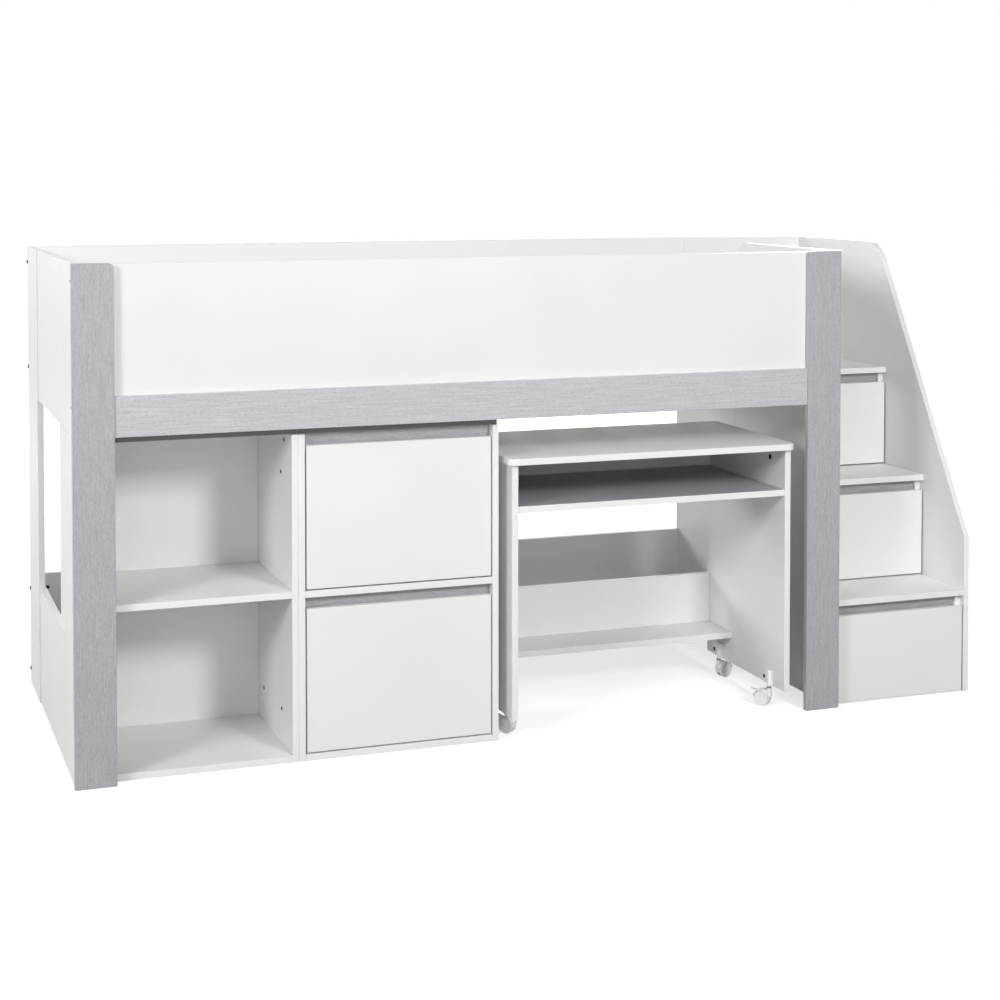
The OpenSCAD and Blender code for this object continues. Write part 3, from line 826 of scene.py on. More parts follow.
@dataclass(frozen=True)
class Finish:
    """Finish of one kind of surface, in linear colour."""

    name: str
    colour: Colour
    roughness: float = 0.42
    spread: float = 0.05
    metallic: float = 0.0
    specular: float = 0.5
    coat: float = 0.0
    coat_roughness: float = 0.12
    grain: Grain = Grain.NONE
    contrast: float = 0.0
    mottle: float = 0.03
    wear: float = 0.35
    worn: Colour = (0.72, 0.71, 0.69)
    texture: float = 900.0
    wave: float = 0.6
    relief: float = 0.000012

    def shell(self) -> tuple[bpy.types.Material, Graph, bpy.types.Node, Socket]:
        """Starts the material.

        Returns:
            The material, its graph, its Principled shader and the place on the piece.
        """
        material = bpy.data.materials.new(self.name)
        material.use_nodes = True
        g = Graph(material.node_tree)
        shader = material.node_tree.nodes["Principled BSDF"]
        shader.inputs["Metallic"].default_value = self.metallic
        shader.inputs["Specular IOR Level"].default_value = self.specular
        shader.inputs["Coat Weight"].default_value = self.coat
        shader.inputs["Coat Roughness"].default_value = self.coat_roughness
        return material, g, shader, g.node("TexCoord", {}).outputs["Object"]

    def relief_on(self, g: Graph, shader: bpy.types.Node, height: Socket) -> None:
        """Gives the shader a bump from a height."""
        bump = g.node("Bump", {"Height": height, "Distance": self.relief, "Strength": 1.0})
        g.feed(bump.outputs[0], shader.inputs["Normal"])

    def material(self) -> bpy.types.Material:
        """Builds the material once.

        Returns:
            The material.
        """
        if self.name in bpy.data.materials:
            return bpy.data.materials[self.name]
        material, g, shader, place = self.shell()
        plain, tint = rgba(self.colour), rgba(self.colour, CLOUD_TINT)
        clouds = {"Colour": plain, "Tint": tint, "Amount": self.mottle / (1 - CLOUD_TINT)}
        colour = effect(g, "mottle", place, Scale=CLOUD_SCALE, **clouds)["Colour"]
        if self.grain is not Grain.NONE:
            grain = {"Stretch": self.grain.value, "Line": rgba(self.colour, GRAIN_TINT)}
            grain |= {"Colour": colour, "Contrast": self.contrast}
            colour = effect(g, "straight_grain", place, **grain)["Colour"]
        rub = {"Colour": colour, "Worn": rgba(self.worn), "Amount": self.wear}
        colour = effect(g, "edge_rub", place, **rub)["Colour"]
        g.feed(colour, shader.inputs["Base Color"])
        hands = effect(g, "handling", place, Roughness=self.roughness, Spread=self.spread)
        g.feed(hands["Roughness"], shader.inputs["Roughness"])
        pressed = effect(g, "pressed_texture", place, Scale=self.texture, Wave=self.wave)
        self.relief_on(g, shader, pressed["Height"])
        return material


@dataclass(frozen=True)
class PineFinish(Finish):
    """Planed pine."""

    dark: Colour = (0.63, 0.57, 0.48)
    knot: Colour = (0.20, 0.11, 0.05)
    late_gloss: float = 0.12

    def material(self) -> bpy.types.Material:
        """Builds the material once.

        Returns:
            The material.
        """
        if self.name in bpy.data.materials:
            return bpy.data.materials[self.name]
        material, g, shader, place = self.shell()
        wood = {"Light": rgba(self.colour), "Dark": rgba(self.dark), "Knot": rgba(self.knot)}
        pine = effect(g, "planed_pine", place, **wood)
        g.feed(pine["Colour"], shader.inputs["Base Color"])
        rough = (self.roughness, self.roughness - self.late_gloss)
        g.feed(g.remap(pine["Tone"], 0.0, 1.0, out=rough), shader.inputs["Roughness"])
        self.relief_on(g, shader, pine["Height"])
        return material


WHITE = (0.85, 0.85, 0.847)
WHITE_FACE = Finish("white_melamine", WHITE)
# Painted shade: the front side board is the same white melamine, made darker to offset the
# stronger light that it gets from the high softboxes.
GUARD_SHADED_FACE = Finish("white_melamine_front_board_painted_shade", (0.79, 0.79, 0.787))
WHITE_SEAM = Finish("white_glue_line", (0.62, 0.61, 0.59), roughness=0.6)
WHITE_BAND = Finish("white_edge_band", (0.86, 0.86, 0.857), roughness=0.36)
CORE = Finish(
    "chipboard_core", (0.42, 0.31, 0.19), roughness=0.85, mottle=0.1, relief=0.0002, wear=0.0
)
GREY = (0.456, 0.463, 0.482)
GREY_UPRIGHT = Finish(
    "grey_melamine_upright", GREY, grain=Grain.UPRIGHT, contrast=0.6, roughness=0.45
)
GREY_ALONG = Finish(
    "grey_melamine_along", GREY, grain=Grain.ALONG_X, contrast=0.6, roughness=0.45
)
GREY_PLAIN = Finish("grey_melamine_plain", (0.38, 0.388, 0.41), roughness=0.45)
GREY_SEAM = Finish("grey_glue_line", (0.22, 0.215, 0.21), roughness=0.6)
GREY_BAND = Finish("grey_edge_band", (0.43, 0.437, 0.455), roughness=0.38)
# Painted shade: the near-black edge band on the unit tops' front edges stands in for the rail's
# shadow falling on them.
PAINTED_SHADE_BAND = Finish("painted_shade_grey_edge_band", (0.19, 0.19, 0.195), roughness=0.5)
PALE_GREY = (0.59, 0.596, 0.622)
PALE_ALONG = Finish(
    "pale_grey_melamine", PALE_GREY, grain=Grain.ALONG_X, contrast=0.6, roughness=0.45
)
PALE_SEAM = Finish("pale_grey_glue_line", (0.36, 0.355, 0.35), roughness=0.6)
PALE_BAND = Finish("pale_grey_edge_band", (0.55, 0.555, 0.58), roughness=0.38)
PINE = PineFinish("planed_pine", (0.74, 0.71, 0.65), roughness=0.6, relief=0.00006)
PINE_END = Finish(
    "sawn_pine_end", (0.62, 0.57, 0.49), roughness=0.8, mottle=0.1, texture=500.0, relief=0.0001
)
DARK_STEEL = Finish(
    "dark_coated_steel",
    (0.035, 0.035, 0.038),
    roughness=0.34,
    metallic=0.6,
    worn=(0.30, 0.30, 0.31),
    relief=0.00001,
)
ZINC = Finish(
    "zinc_plated_steel", (0.62, 0.63, 0.64), roughness=0.3, metallic=1.0, mottle=0.1
)
RUNNER_STEEL = Finish(
    "white_coated_steel", (0.74, 0.74, 0.735), roughness=0.3, texture=420.0, relief=0.00003
)
WHITE_PLASTIC = Finish(
    "moulded_white_plastic",
    (0.88, 0.88, 0.878),
    roughness=0.33,
    coat=0.15,
    texture=1500.0,
    relief=0.00002,
)
DARK_RING = Finish("dark_swivel_ring", (0.05, 0.05, 0.055), roughness=0.4)


@dataclass(frozen=True)
class BoardStock:
    """The finishes of one kind of board and its material slot."""

    slot: str
    face: Finish
    seam: Finish
    band: Finish

    def materials(self) -> list[bpy.types.Material]:
        """Materials of the faces, the glue line, the edge band and the core."""
        return [f.material() for f in (self.face, self.seam, self.band, CORE)]


WHITE_BOARD = BoardStock("white_board", WHITE_FACE, WHITE_SEAM, WHITE_BAND)
# White board with the painted shade face, for the front side board.
GUARD_SHADED_BOARD = BoardStock("white_board", GUARD_SHADED_FACE, WHITE_SEAM, WHITE_BAND)
# Unit top boards whose front edge carries the painted shade band under the rail.
UNIT_TOP_SHADED_BOARD = BoardStock("white_board", WHITE_FACE, WHITE_SEAM, PAINTED_SHADE_BAND)
POST_BOARD = BoardStock("grey_board", GREY_UPRIGHT, GREY_SEAM, GREY_BAND)
STRIP_BOARD = BoardStock("grey_board", GREY_ALONG, GREY_SEAM, GREY_BAND)
DESK_SHELF_BOARD = BoardStock("grey_board", GREY_PLAIN, GREY_SEAM, WHITE_BAND)
RAIL_BOARD = BoardStock("pale_grey_board", PALE_ALONG, PALE_SEAM, PALE_BAND)


def boards(*nodes: str, stock: BoardStock = WHITE_BOARD) -> None:
    """Makes the plain boards of CAD nodes, one piece for each node.

    Args:
        *nodes: CAD nodes that the pieces stand for.
        stock: Kind of board.
    """
    for node in nodes:
        shape = Shape()
        for box in cad_boxes(node):
            shape.board(box)
        made_of(stock, node, shape)


def made_of(stock: BoardStock, node: str, shape: Shape) -> bpy.types.Object:
    """Finishes a shape as the boards of one CAD node."""
    return finished(node + "_made", shape, stock.materials(), stock.slot, replaced=[node])


def fitted(node: str, shape: Shape, slot: str, *finishes: Finish) -> bpy.types.Object:
    """Finishes a shape as the fittings of one CAD node."""
    dressed = [finish.material() for finish in finishes]
    return finished(node + "_made", shape, dressed, slot, replaced=[node])


SCREW_HEAD = [
    *rings((1.5, 6.0), (1.9, 2.0), (3.4, 0.3), (3.4, 0.0), (2.1, -0.03)),
    *rings((2.0, -0.03), (1.3, 1.0), form=Form.CROSS),
]
PAN_HEAD = [
    *rings((1.6, 8.0), (1.9, 0.1), (3.7, 0.0), (3.9, -0.5), (3.5, -1.3), (2.4, -1.8)),
    *rings((2.2, -1.8), (1.4, -0.7), form=Form.CROSS),
]
BOLT_HEAD = [
    *rings((2.9, 6.0), (3.0, 3.0), (5.4, 3.0), (5.5, 2.7), (5.3, 2.0), (4.6, 1.1)),
    *rings((3.6, 0.45), (2.7, 0.15)),
    *rings((2.2, 0.15), (2.05, 0.4), (2.0, 2.2), form=Form.HEX),
    Ring(1.2, 2.5),
]
NUT_FACE = [
    *rings((5.0, 0.5), (4.6, 0.05)),
    *rings((4.2, 0.05), (4.2, 1.4), form=Form.SLOT),
]
JOINING_SCREW = [
    Ring(1.2, 1.2),
    *rings((2.3, 0.9), (2.9, 0.2), form=Form.CROSS),
    *rings((3.3, 0.1), (4.3, 0.25), (4.9, 0.9), (5.0, 1.5), (2.5, 1.5)),
]
JOINING_SLEEVE = [
    *rings((2.5, 1.5), (5.0, 1.5), (5.0, 0.9), (4.3, 0.2), (3.3, 0.0)),
    *rings((2.2, 0.0), (2.0, 1.2), form=Form.HEX),
]
CAM_FACE = [
    *rings((7.5, 0.5), (7.1, 0.1), (6.2, 0.1), (6.0, 0.5), (4.4, 0.5)),
    *rings((4.2, 0.4), (3.8, 3.2), form=Form.CROSS),
]
BRACKET_SCREW = [
    *rings((3.0, 1.7), (5.3, 1.6), (5.5, 1.3), (5.1, 0.6), (4.0, 0.15), (3.1, 0.0)),
    *rings((2.9, 0.05), (2.2, 1.2), form=Form.CROSS),
]
SLIDE_ROLLER = rings((2.6, 7.0), (2.4, 7.6), (1.6, 7.8))
CHANNEL_ROLLER = rings(
    (4.6, 0.0), (5.0, 0.4), (5.0, 5.6), (4.6, 6.0), (2.2, 6.0), (2.0, 6.8), (1.2, 7.0)
)
WHEEL_HALF = rings(
    *((1.6, 11.85), (3.2, 11.7), (4.1, 11.25), (4.3, 10.75), (5.2, 10.7), (10.5, 10.95)),
    *((15.6, 11.25), (16.5, 11.2), (16.8, 10.7), (17.2, 10.7), (17.5, 11.4), (18.0, 11.9)),
    *((18.7, 12.0), (19.4, 11.65), (19.85, 11.0), (20.0, 10.1), (20.0, 5.9), (19.85, 5.0)),
    *((19.4, 4.35), (18.7, 4.05), (17.0, 4.0), (4.6, 4.0), (4.3, 3.75), (2.95, 3.75)),
)
LUG = rings((2.1, -5.0), (2.4, -4.7), (2.4, 4.7), (2.1, 5.0))
LINK = rings((1.9, 0.0), (1.9, 2.4), (2.6, 3.6))
BRAKE_PIN = rings((1.1, -7.8), (1.4, -7.5), (1.4, 7.5), (1.1, 7.8))


class Lamp(NamedTuple):
    """Square softbox: its place and what it looks at in metres, its power and its size."""

    name: str
    place: tuple[float, float, float]
    target: tuple[float, float, float]
    power: float
    size: float


LAMPS = (
    Lamp("left_softbox", (-5.05, -3.68, 2.85), (-0.2, 0.0, 0.6), 157.0, 1.5),
    Lamp("right_softbox", (0.91, -4.87, 2.77), (0.0, 0.0, 0.6), 127.0, 0.85),
    Lamp("front_fill", (-1.9, -6.0, 1.3), (0.0, 0.0, 0.6), 38.0, 2.4),
    Lamp("top_softbox", (0.6, -3.6, 4.6), (0.0, 0.0, 0.6), 32.0, 2.4),
    Lamp("upper_left_softbox", (-2.6, -1.5, 4.6), (0.2, 0.0, 0.6), 34.0, 2.2),
    Lamp("rear_left_softbox", (-4.2, 5.0, 2.3), (0.0, 0.4, 0.6), 165.0, 1.8),
    Lamp("rear_right_softbox", (4.2, 5.0, 2.3), (0.0, 0.4, 0.6), 185.0, 1.8),
    Lamp("right_side_softbox", (5.2, 0.8, 2.2), (0.6, 0.0, 0.6), 75.0, 1.8),
)


@dataclass
class Studio:
    """Camera, lamps, floor and surroundings."""

    camera_at: Vector = Vector((-1.6768, -4.7109, 1.3959))
    camera_tilt: float = math.radians(87.86)
    camera_turn: float = math.radians(-19.64)
    lens: float = 67.8
    shift: tuple[float, float] = (0.0021, -0.2635)
    ambient: tuple[float, float] = (0.03, 0.05)
    floor_glow: tuple[float, float] = (0.62, 1.0)
    floor_fade: tuple[float, float] = (1.6, 3.5)
    floor_colour: Colour = (0.6, 0.6, 0.6)
    floor_bounce: Colour = (0.3, 0.3, 0.3)
    floor_radius: float = 30.0
    floor_sides: int = 96
    floor_roughness: float = 0.9
    floor_drop: float = 0.2 * MM
    farthest: float = 200.0

    def camera(self) -> None:
        """Sets up the camera at the photograph's viewing angle."""
        data = bpy.data.cameras.new("camera")
        data.lens = self.lens
        data.shift_x, data.shift_y = self.shift
        data.clip_end = self.farthest
        camera = bpy.data.objects.new("camera", data)
        camera.location = self.camera_at
        camera.rotation_euler = (self.camera_tilt, 0, self.camera_turn)
        bpy.context.scene.collection.objects.link(camera)
        bpy.context.scene.camera = camera

    def lamp(self, lamp: Lamp) -> None:
        """Hangs one softbox, which the camera doesn't see.

        Args:
            lamp: Its place, aim, power and size.
        """
        data = bpy.data.lights.new(lamp.name, "AREA")
        data.energy, data.size = lamp.power, lamp.size
        light = bpy.data.objects.new(lamp.name, data)
        aim = Vector(lamp.place) - Vector(lamp.target)
        light.location = lamp.place
        light.rotation_euler = aim.to_track_quat("Z", "Y").to_euler()
        light.visible_camera = False
        bpy.context.scene.collection.objects.link(light)

    def seen(self, g: Graph) -> Socket:
        """Finds the rays that see the plain surroundings.

        Args:
            g: Graph of the floor or of the world.

        Returns:
            Their mask.
        """
        path = g.node("LightPath", {})
        rays = [path.outputs[f"Is {kind} Ray"] for kind in ("Camera", "Glossy", "Transmission")]
        both = g.math("MAXIMUM", rays[0], rays[1])
        return g.math("MAXIMUM", both, rays[2])

    def surroundings(self) -> None:
        """Sets a white background over an even ambient light."""
        world = bpy.data.worlds.new("surroundings")
        world.use_nodes = True
        bpy.context.scene.world = world
        g = Graph(world.node_tree)
        way = g.node("TexCoord", {}).outputs["Generated"]
        height = g.node("SeparateXYZ", {0: way}).outputs["Z"]
        ambient = g.remap(height, 0.0, 1.0, self.ambient)
        strength = g.remap(self.seen(g), 0.0, 1.0, (ambient, 1.0))
        background = world.node_tree.nodes["Background"]
        background.inputs["Color"].default_value = (1, 1, 1, 1)
        g.feed(strength, background.inputs["Strength"])

    def floor(self) -> None:
        """Lays a plain pale floor that keeps the shadows."""
        shape = Shape()
        sides, radius = self.floor_sides, self.floor_radius
        bmesh.ops.create_circle(shape.bm, cap_ends=True, segments=sides, radius=radius)
        mesh = bpy.data.meshes.new("floor")
        shape.bm.to_mesh(mesh)
        shape.bm.free()
        floor = bpy.data.objects.new("floor", mesh)
        floor.location.z = -self.floor_drop
        material = bpy.data.materials.new("pale_floor")
        material.use_nodes = True
        g = Graph(material.node_tree)
        shader = material.node_tree.nodes["Principled BSDF"]
        colour = g.mix(self.seen(g), rgba(self.floor_bounce), rgba(self.floor_colour))
        g.feed(colour, shader.inputs["Base Color"])
        shader.inputs["Roughness"].default_value = self.floor_roughness
        shader.inputs["Specular IOR Level"].default_value = 0.0
        shader.inputs["Emission Color"].default_value = (1, 1, 1, 1)
        flat = g.scaled(g.node("TexCoord", {}).outputs["Object"], (1, 1, 0))
        away = g.node("VectorMath", {0: flat}, operation="LENGTH").outputs["Value"]
        level = g.remap(away, *self.floor_fade, self.floor_glow)
        glow = g.math("MULTIPLY", self.seen(g), level)
        g.feed(glow, shader.inputs["Emission Strength"])
        mesh.materials.append(material)
        bpy.context.scene.collection.objects.link(floor)

    def build(self) -> None:
        """Sets up everything around the object."""
        bpy.context.scene.view_settings.view_transform = "Standard"
        self.camera()
        for lamp in LAMPS:
            self.lamp(lamp)
        self.surroundings()
        self.floor()


@dataclass
class BedFrame:
    """Posts, rail, side boards, end boards and bolts of the bed."""

    post_corner: float = 12.0
    guard_corner: float = 65.0
    hole_gap: float = 0.1
    bolt_radius: float = 3.0
    nut_radius: float = 5.0
    nut_depth: float = 14.0
    longest_nut: float = 20.0

    def posts(self) -> None:
        """Makes the two grey posts, each with its inner top corner round."""
        shape = Shape()
        for i, box in enumerate(cad_boxes("front_posts")):
            radii = (0, 0, self.post_corner, 0) if i == 0 else (0, 0, 0, self.post_corner)
            shape.board(box, Axis.Y, radii)
        made_of(POST_BOARD, "front_posts", shape)

    def right_end(self) -> None:
        """Makes the guard with its round corner and the notched board behind it."""
        shape, radii = Shape(), (0, 0, self.guard_corner, 0)
        shape.board(cad_box("right_end_front_panel"), Axis.X, radii)
        made_of(WHITE_BOARD, "right_end_front_panel", shape)
        box, side = cad_box("right_end_rear_panel"), cad_box("rear_side_board")
        corners = [(box.lo.y, 0), (box.hi.y, 0), (box.hi.y, side.lo.z), (side.lo.y, side.lo.z)]
        corners += [(side.lo.y, box.hi.z), (box.lo.y, box.hi.z)]
        shape = Shape()
        shape.plate(corners, Axis.X, box.span(Axis.X))
        made_of(WHITE_BOARD, "right_end_rear_panel", shape)

    def fastenings(self) -> tuple[list[Box], list[Box]]:
        """Boxes of the bolts and of their barrel nuts."""
        boxes, longest = cad_boxes("frame_bolts"), self.longest_nut
        return [b for b in boxes if b.size.x > longest], [b for b in boxes if b.size.x <= longest]

    def bored(self, node: str, stock: BoardStock = WHITE_BOARD) -> None:
        """Makes a board with the holes of its bolts and barrel nuts.

        Args:
            node: CAD node of the board.
            stock: Kind of board.
        """
        box, clear = cad_box(node), 2 * PAST
        shape, drills = Shape(), Shape()
        shape.board(box)
        bolts, nuts = self.fastenings()
        for b in bolts:
            if box.lo.y < b.middle.y < box.hi.y and b.hi.z < box.hi.z + clear:
                at = b.left - RIGHT * clear
                drills.drill(at, RIGHT, self.bolt_radius + self.hole_gap, b.size.x + 2 * clear)
        deep = self.nut_depth + self.hole_gap + PAST
        for b in nuts if box.thin is Axis.Y else ():
            if box.lo.z < b.middle.z < box.hi.z and box.lo.y < b.middle.y < box.hi.y:
                at, way = b.facing(Axis.Y)
                drills.drill(at - way * PAST, way, self.nut_radius + self.hole_gap, deep)
        shape.combine(drills)
        made_of(stock, node, shape)

    def bolts(self) -> None:
        """Makes the domed hex-socket bolts and the slotted barrel nuts."""
        shape = Shape()
        bolts, nuts = self.fastenings()
        for b in bolts:
            profile = rings((2.2, b.size.x), (2.9, b.size.x - 1)) + BOLT_HEAD
            shape.turned(b.left, RIGHT, profile, segments=36)
        for b in nuts:
            at, way = b.facing(Axis.Y)
            profile = rings((4.6, self.nut_depth), (self.nut_radius, self.nut_depth - 0.4))
            shape.turned(at, way, profile + NUT_FACE, SCREW_SIDES)
        fitted("frame_bolts", shape, "dark_steel", DARK_STEEL)

    def build(self) -> None:
        """Makes every part of the bed frame."""
        self.posts()
        self.right_end()
        boards("front_rail", stock=RAIL_BOARD)
        boards("left_end_stile", "left_end_lower_panel")
        # The front side board gets the darker white, as painted shade against its stronger light.
        self.bored("front_side_board", GUARD_SHADED_BOARD)
        for node in (
            "left_end_upper_panel",
            "left_end_rear_post",
            "rear_side_board",
            "rear_low_panel",
        ):
            self.bored(node)
        self.bolts()


@dataclass
class BedBase:
    """Bearers and slats with their screws."""

    slat_round: float = 2.2
    screw_inset: tuple[float, float] = (18.0, 11.0)
    bearer_screws: int = 6

    def bearers(self, heads: Shape) -> None:
        """Makes the two bearers and draws their screws.

        Args:
            heads: Shape that takes the screws.
        """
        shape = Shape()
        for box in cad_boxes("slat_bearers"):
            shape.board(box, Axis.Z)
            face, way = box.facing(Axis.Y)
            for k in range(self.bearer_screws):
                x = box.lo.x + box.size.x * (k + 0.5) / self.bearer_screws
                heads.turned(Vector((x, face.y, face.z)), way, SCREW_HEAD, SCREW_SIDES)
        made_of(WHITE_BOARD, "slat_bearers", shape)

    def slats(self, heads: Shape) -> None:
        """Makes the slats and draws their screws.

        Args:
            heads: Shape that takes the screws.
        """
        shape, (inset_x, inset_y) = Shape(), self.screw_inset
        for box in cad_boxes("bed_slats"):
            shape.board(box, Axis.Y, ease=self.slat_round, finishes=(1, 1, 0), segments=3)
            for y in (box.lo.y + inset_y, box.hi.y - inset_y):
                for x in (box.lo.x + inset_x, box.hi.x - inset_x):
                    heads.turned(Vector((x, y, box.hi.z)), -UP, SCREW_HEAD, SCREW_SIDES)
        fitted("bed_slats", shape, "slat_timber", PINE, PINE_END)

    def build(self) -> None:
        """Makes the bearers, the slats and the screws."""
        heads = Shape()
        self.bearers(heads)
        self.slats(heads)
        finished("base_screws", heads, [ZINC.material()], "dark_steel", body="bed")


@dataclass
class Bookcase:
    """Open bookcase beside the drawer cabinet, and the screws between the two."""

    side_ease: float = 1.5
    hole_radius: float = 2.6

    def sides(self, node: str, screws: list[Box]) -> None:
        """Makes the drilled side boards of one unit.

        Args:
            node: CAD node of the sides.
            screws: Boxes of the joining screws.
        """
        shape, holes, clear = Shape(), Shape(), 3 * PAST
        for box in cad_boxes(node):
            shape.board(box, ease=self.side_ease)
        for b in screws:
            at = b.left - RIGHT * clear
            holes.drill(at, RIGHT, self.hole_radius, b.size.x + 2 * clear)
        shape.combine(holes)
        made_of(WHITE_BOARD, node, shape)

    def build(self) -> None:
        """Makes its boards, the cabinet's sides and the joining screws."""
        boxes, screws = cad_boxes("unit_screws"), Shape()
        for node in ("bookcase_sides", "cabinet_sides"):
            self.sides(node, boxes)
        # The top board's front edge is painted dark as the shade under the rail.
        boards("bookcase_top", stock=UNIT_TOP_SHADED_BOARD)
        boards("bookcase_bottom", "bookcase_shelf", "bookcase_back")
        for b in boxes:
            sleeve = [Ring(r.radius, b.size.x - r.height, r.form) for r in JOINING_SLEEVE]
            screws.turned(b.left, RIGHT, JOINING_SCREW + sleeve, segments=48)
        fitted("unit_screws", screws, "dark_steel", DARK_STEEL)


@dataclass
class Cabinet:
    """Carcass of the cabinet with two drawers."""

    def build(self) -> None:
        """Makes its boards; its sides are drilled together with the bookcase's."""
        # The top board's front edge is painted dark as the shade under the rail.
        boards("cabinet_top", stock=UNIT_TOP_SHADED_BOARD)
        boards("cabinet_divider", "cabinet_bottom", "cabinet_back")


@dataclass
class Staircase:
    """Panels, inner sides and treads of the drawer stairs."""

    slope_start: float = 412.0
    slope_end_y: float = -1.0
    shoulder: float = 110.0

    def build(self) -> None:
        """Makes the outer panel with its slope, and the plain boards."""
        box = cad_box("stair_outer_panel")
        corners = [(box.lo.y, 0, 0), (box.hi.y, 0, 0), (box.hi.y, box.hi.z, 0)]
        corners += [(self.slope_end_y, box.hi.z, self.shoulder), (box.lo.y, self.slope_start, 0)]
        shape = Shape()
        shape.plate(filleted(corners), Axis.X, box.span(Axis.X))
        made_of(WHITE_BOARD, "stair_outer_panel", shape)
        boards("stair_rear_panel", "stair_sides", *(f"stair_tread_{k}" for k in (1, 2, 3)))


@dataclass
class Drawers:
    """Drawer fronts, boxes, slides and the grey strips above the fronts."""

    channel_wall: float = 1.5
    channel_radii: tuple[float, float, float] = (2.2, 0.5, 0.7)
    member_wall: float = 1.2
    member_radii: tuple[float, float, float] = (1.6, 0.4, 0.6)
    member_gap: float = 0.2
    member_ease: float = 0.3
    arm_inset: float = 3.0
    arm_thickness: float = 1.5
    lowest_board: float = 30.0
    box_ease: float = 0.6
    roller_length: float = 16.0
    roller_width: float = 7.0
    roller_sides: int = 40
    screw_rows: tuple[float, float] = (0.25, 0.75)
    channel_screws: tuple[float, float, float] = (0.12, 0.5, 0.88)

    def box(self, name: str, node: str) -> None:
        """Makes a drawer box, its screws and the sliding half of its runners.

        Args:
            name: Name of the drawer.
            node: CAD node of the drawer box.
        """
        shape, screws, slides = Shape(), Shape(), Shape()
        solids = cad_boxes(node)
        tall = [b for b in solids if b.size.z > self.lowest_board]
        middle = sum((b.middle.x for b in tall)) / len(tall)
        for b in solids:
            if b in tall or b.thin is Axis.Z:
                shape.board(b, ease=self.box_ease)
            else:
                self.member(slides, b, 1 if b.middle.x > middle else -1)
        front = min((b for b in tall if b.thin is Axis.Y), key=lambda b: b.lo.y)
        for u in self.screw_rows:
            for v in self.screw_rows:
                at = Vector((front.lo.x + front.size.x * u, front.hi.y, front.size.z * v))
                at.z += front.lo.z
                screws.turned(at, -BACK, PAN_HEAD, SCREW_SIDES)
        made_of(WHITE_BOARD, node, shape)
        body = frame["nodes"][node]["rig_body"]
        finished(name + "_screws", screws, [ZINC.material()], "dark_steel", body=body)
        steel = [RUNNER_STEEL.material(), WHITE_PLASTIC.material()]
        finished(name + "_slides", slides, steel, "runner_steel", body=body)

    @staticmethod
    def section(
        web: float,
        tip: float,
        heights: tuple[float, float],
        wall: float,
        radii: tuple[float, float, float],
    ) -> Outline:
        """Draws the C-shaped section of a runner.

        Args:
            web: Where the outer face of its web stands.
            tip: Where its two flanges end.
            heights: Its lower and its upper edge.
            wall: Thickness of the steel.
            radii: Radii of its outer corners, of the flanges' ends and inside.

        Returns:
            Its points.
        """
        (z0, z1), (outer, end, inner) = heights, radii
        inside = web + math.copysign(wall, tip - web)
        corners = [(web, z0, outer), (tip, z0, end), (tip, z0 + wall, end)]
        corners += [(inside, z0 + wall, inner), (inside, z1 - wall, inner)]
        corners += [(tip, z1 - wall, end), (tip, z1, end), (web, z1, outer)]
        return filleted(corners)

    def member(self, shape: Shape, box: Box, side: int) -> None:
        """Adds the sliding member of a runner, with its roller at the rear.

        Args:
            shape: Shape to add it to.
            box: Box of the sliding bar.
            side: 1 where the carcass is at the right, -1 where it is at the left.
        """
        web, tip = (box.lo.x, box.hi.x) if side > 0 else (box.hi.x, box.lo.x)
        tip, span = tip - side * self.member_gap, (box.lo.y, box.hi.y - self.roller_length)
        heights, wall = (box.lo.z, box.hi.z), self.member_wall
        outline = self.section(web, tip, heights, wall, self.member_radii)
        shape.plate(outline, Axis.Y, span, self.member_ease, ONE_FINISH)
        seat, inset = web + side * self.arm_thickness, self.arm_inset
        at = Vector((seat, box.hi.y - self.roller_length / 2 + 1, box.middle.z))
        radius, wide = box.size.z / 2 - 0.1, self.roller_width
        tread = ((radius - 0.5, 0), (radius, 0.5), (radius, wide - 0.5), (radius - 0.5, wide))
        profile = rings(*tread) + SLIDE_ROLLER
        shape.turned(at, RIGHT * side, profile, self.roller_sides, finish=1)
        arm = Box(
            Vector((min(web, seat), span[1] - 0.5, box.lo.z + inset)),
            Vector((max(web, seat), box.hi.y - 2, box.hi.z - inset)),
        )
        shape.board(arm, Axis.X, ease=0.2, finishes=ONE_FINISH)

    def channels(self) -> None:
        """Makes the fixed channels with their front rollers and screws."""
        shape = Shape()
        boxes = cad_boxes("drawer_runners")
        for box in boxes:
            left = any(
                abs(b.lo.z - box.lo.z) < 1 and abs(b.lo.y - box.lo.y) < 1 and b.lo.x > box.hi.x
                for b in boxes
            )
            side = 1 if left else -1
            web, tip = (box.lo.x, box.hi.x) if left else (box.hi.x, box.lo.x)
            heights, wall = (box.lo.z, box.hi.z), self.channel_wall
            outline = self.section(web, tip, heights, wall, self.channel_radii)
            shape.plate(outline, Axis.Y, box.span(Axis.Y), self.member_ease, ONE_FINISH)
            inner, way = web + side * wall, RIGHT * side
            at = Vector((inner + side * 1.0, box.lo.y + 7, box.middle.z))
            shape.turned(at, way, CHANNEL_ROLLER, self.roller_sides, finish=1)
            for u in self.channel_screws:
                at = Vector((inner + side * 1.1, box.lo.y + box.size.y * u + 8, box.middle.z))
                shape.turned(at, -way, SCREW_HEAD, SCREW_SIDES, finish=2)
        fitted("drawer_runners", shape, "runner_steel", RUNNER_STEEL, WHITE_PLASTIC, ZINC)

    def build(self) -> None:
        """Makes the fronts, boxes, runners and grip strips."""
        boards("cabinet_front_lower", "cabinet_front_upper")
        for k in (1, 2, 3):
            boards(f"stair_front_{k}")
            self.box(f"stair_drawer_{k}", f"stair_box_{k}")
        self.box("cabinet_drawer_lower", "cabinet_box_lower")
        self.box("cabinet_drawer_upper", "cabinet_box_upper")
        self.channels()
        boards("grip_strips", stock=STRIP_BOARD)


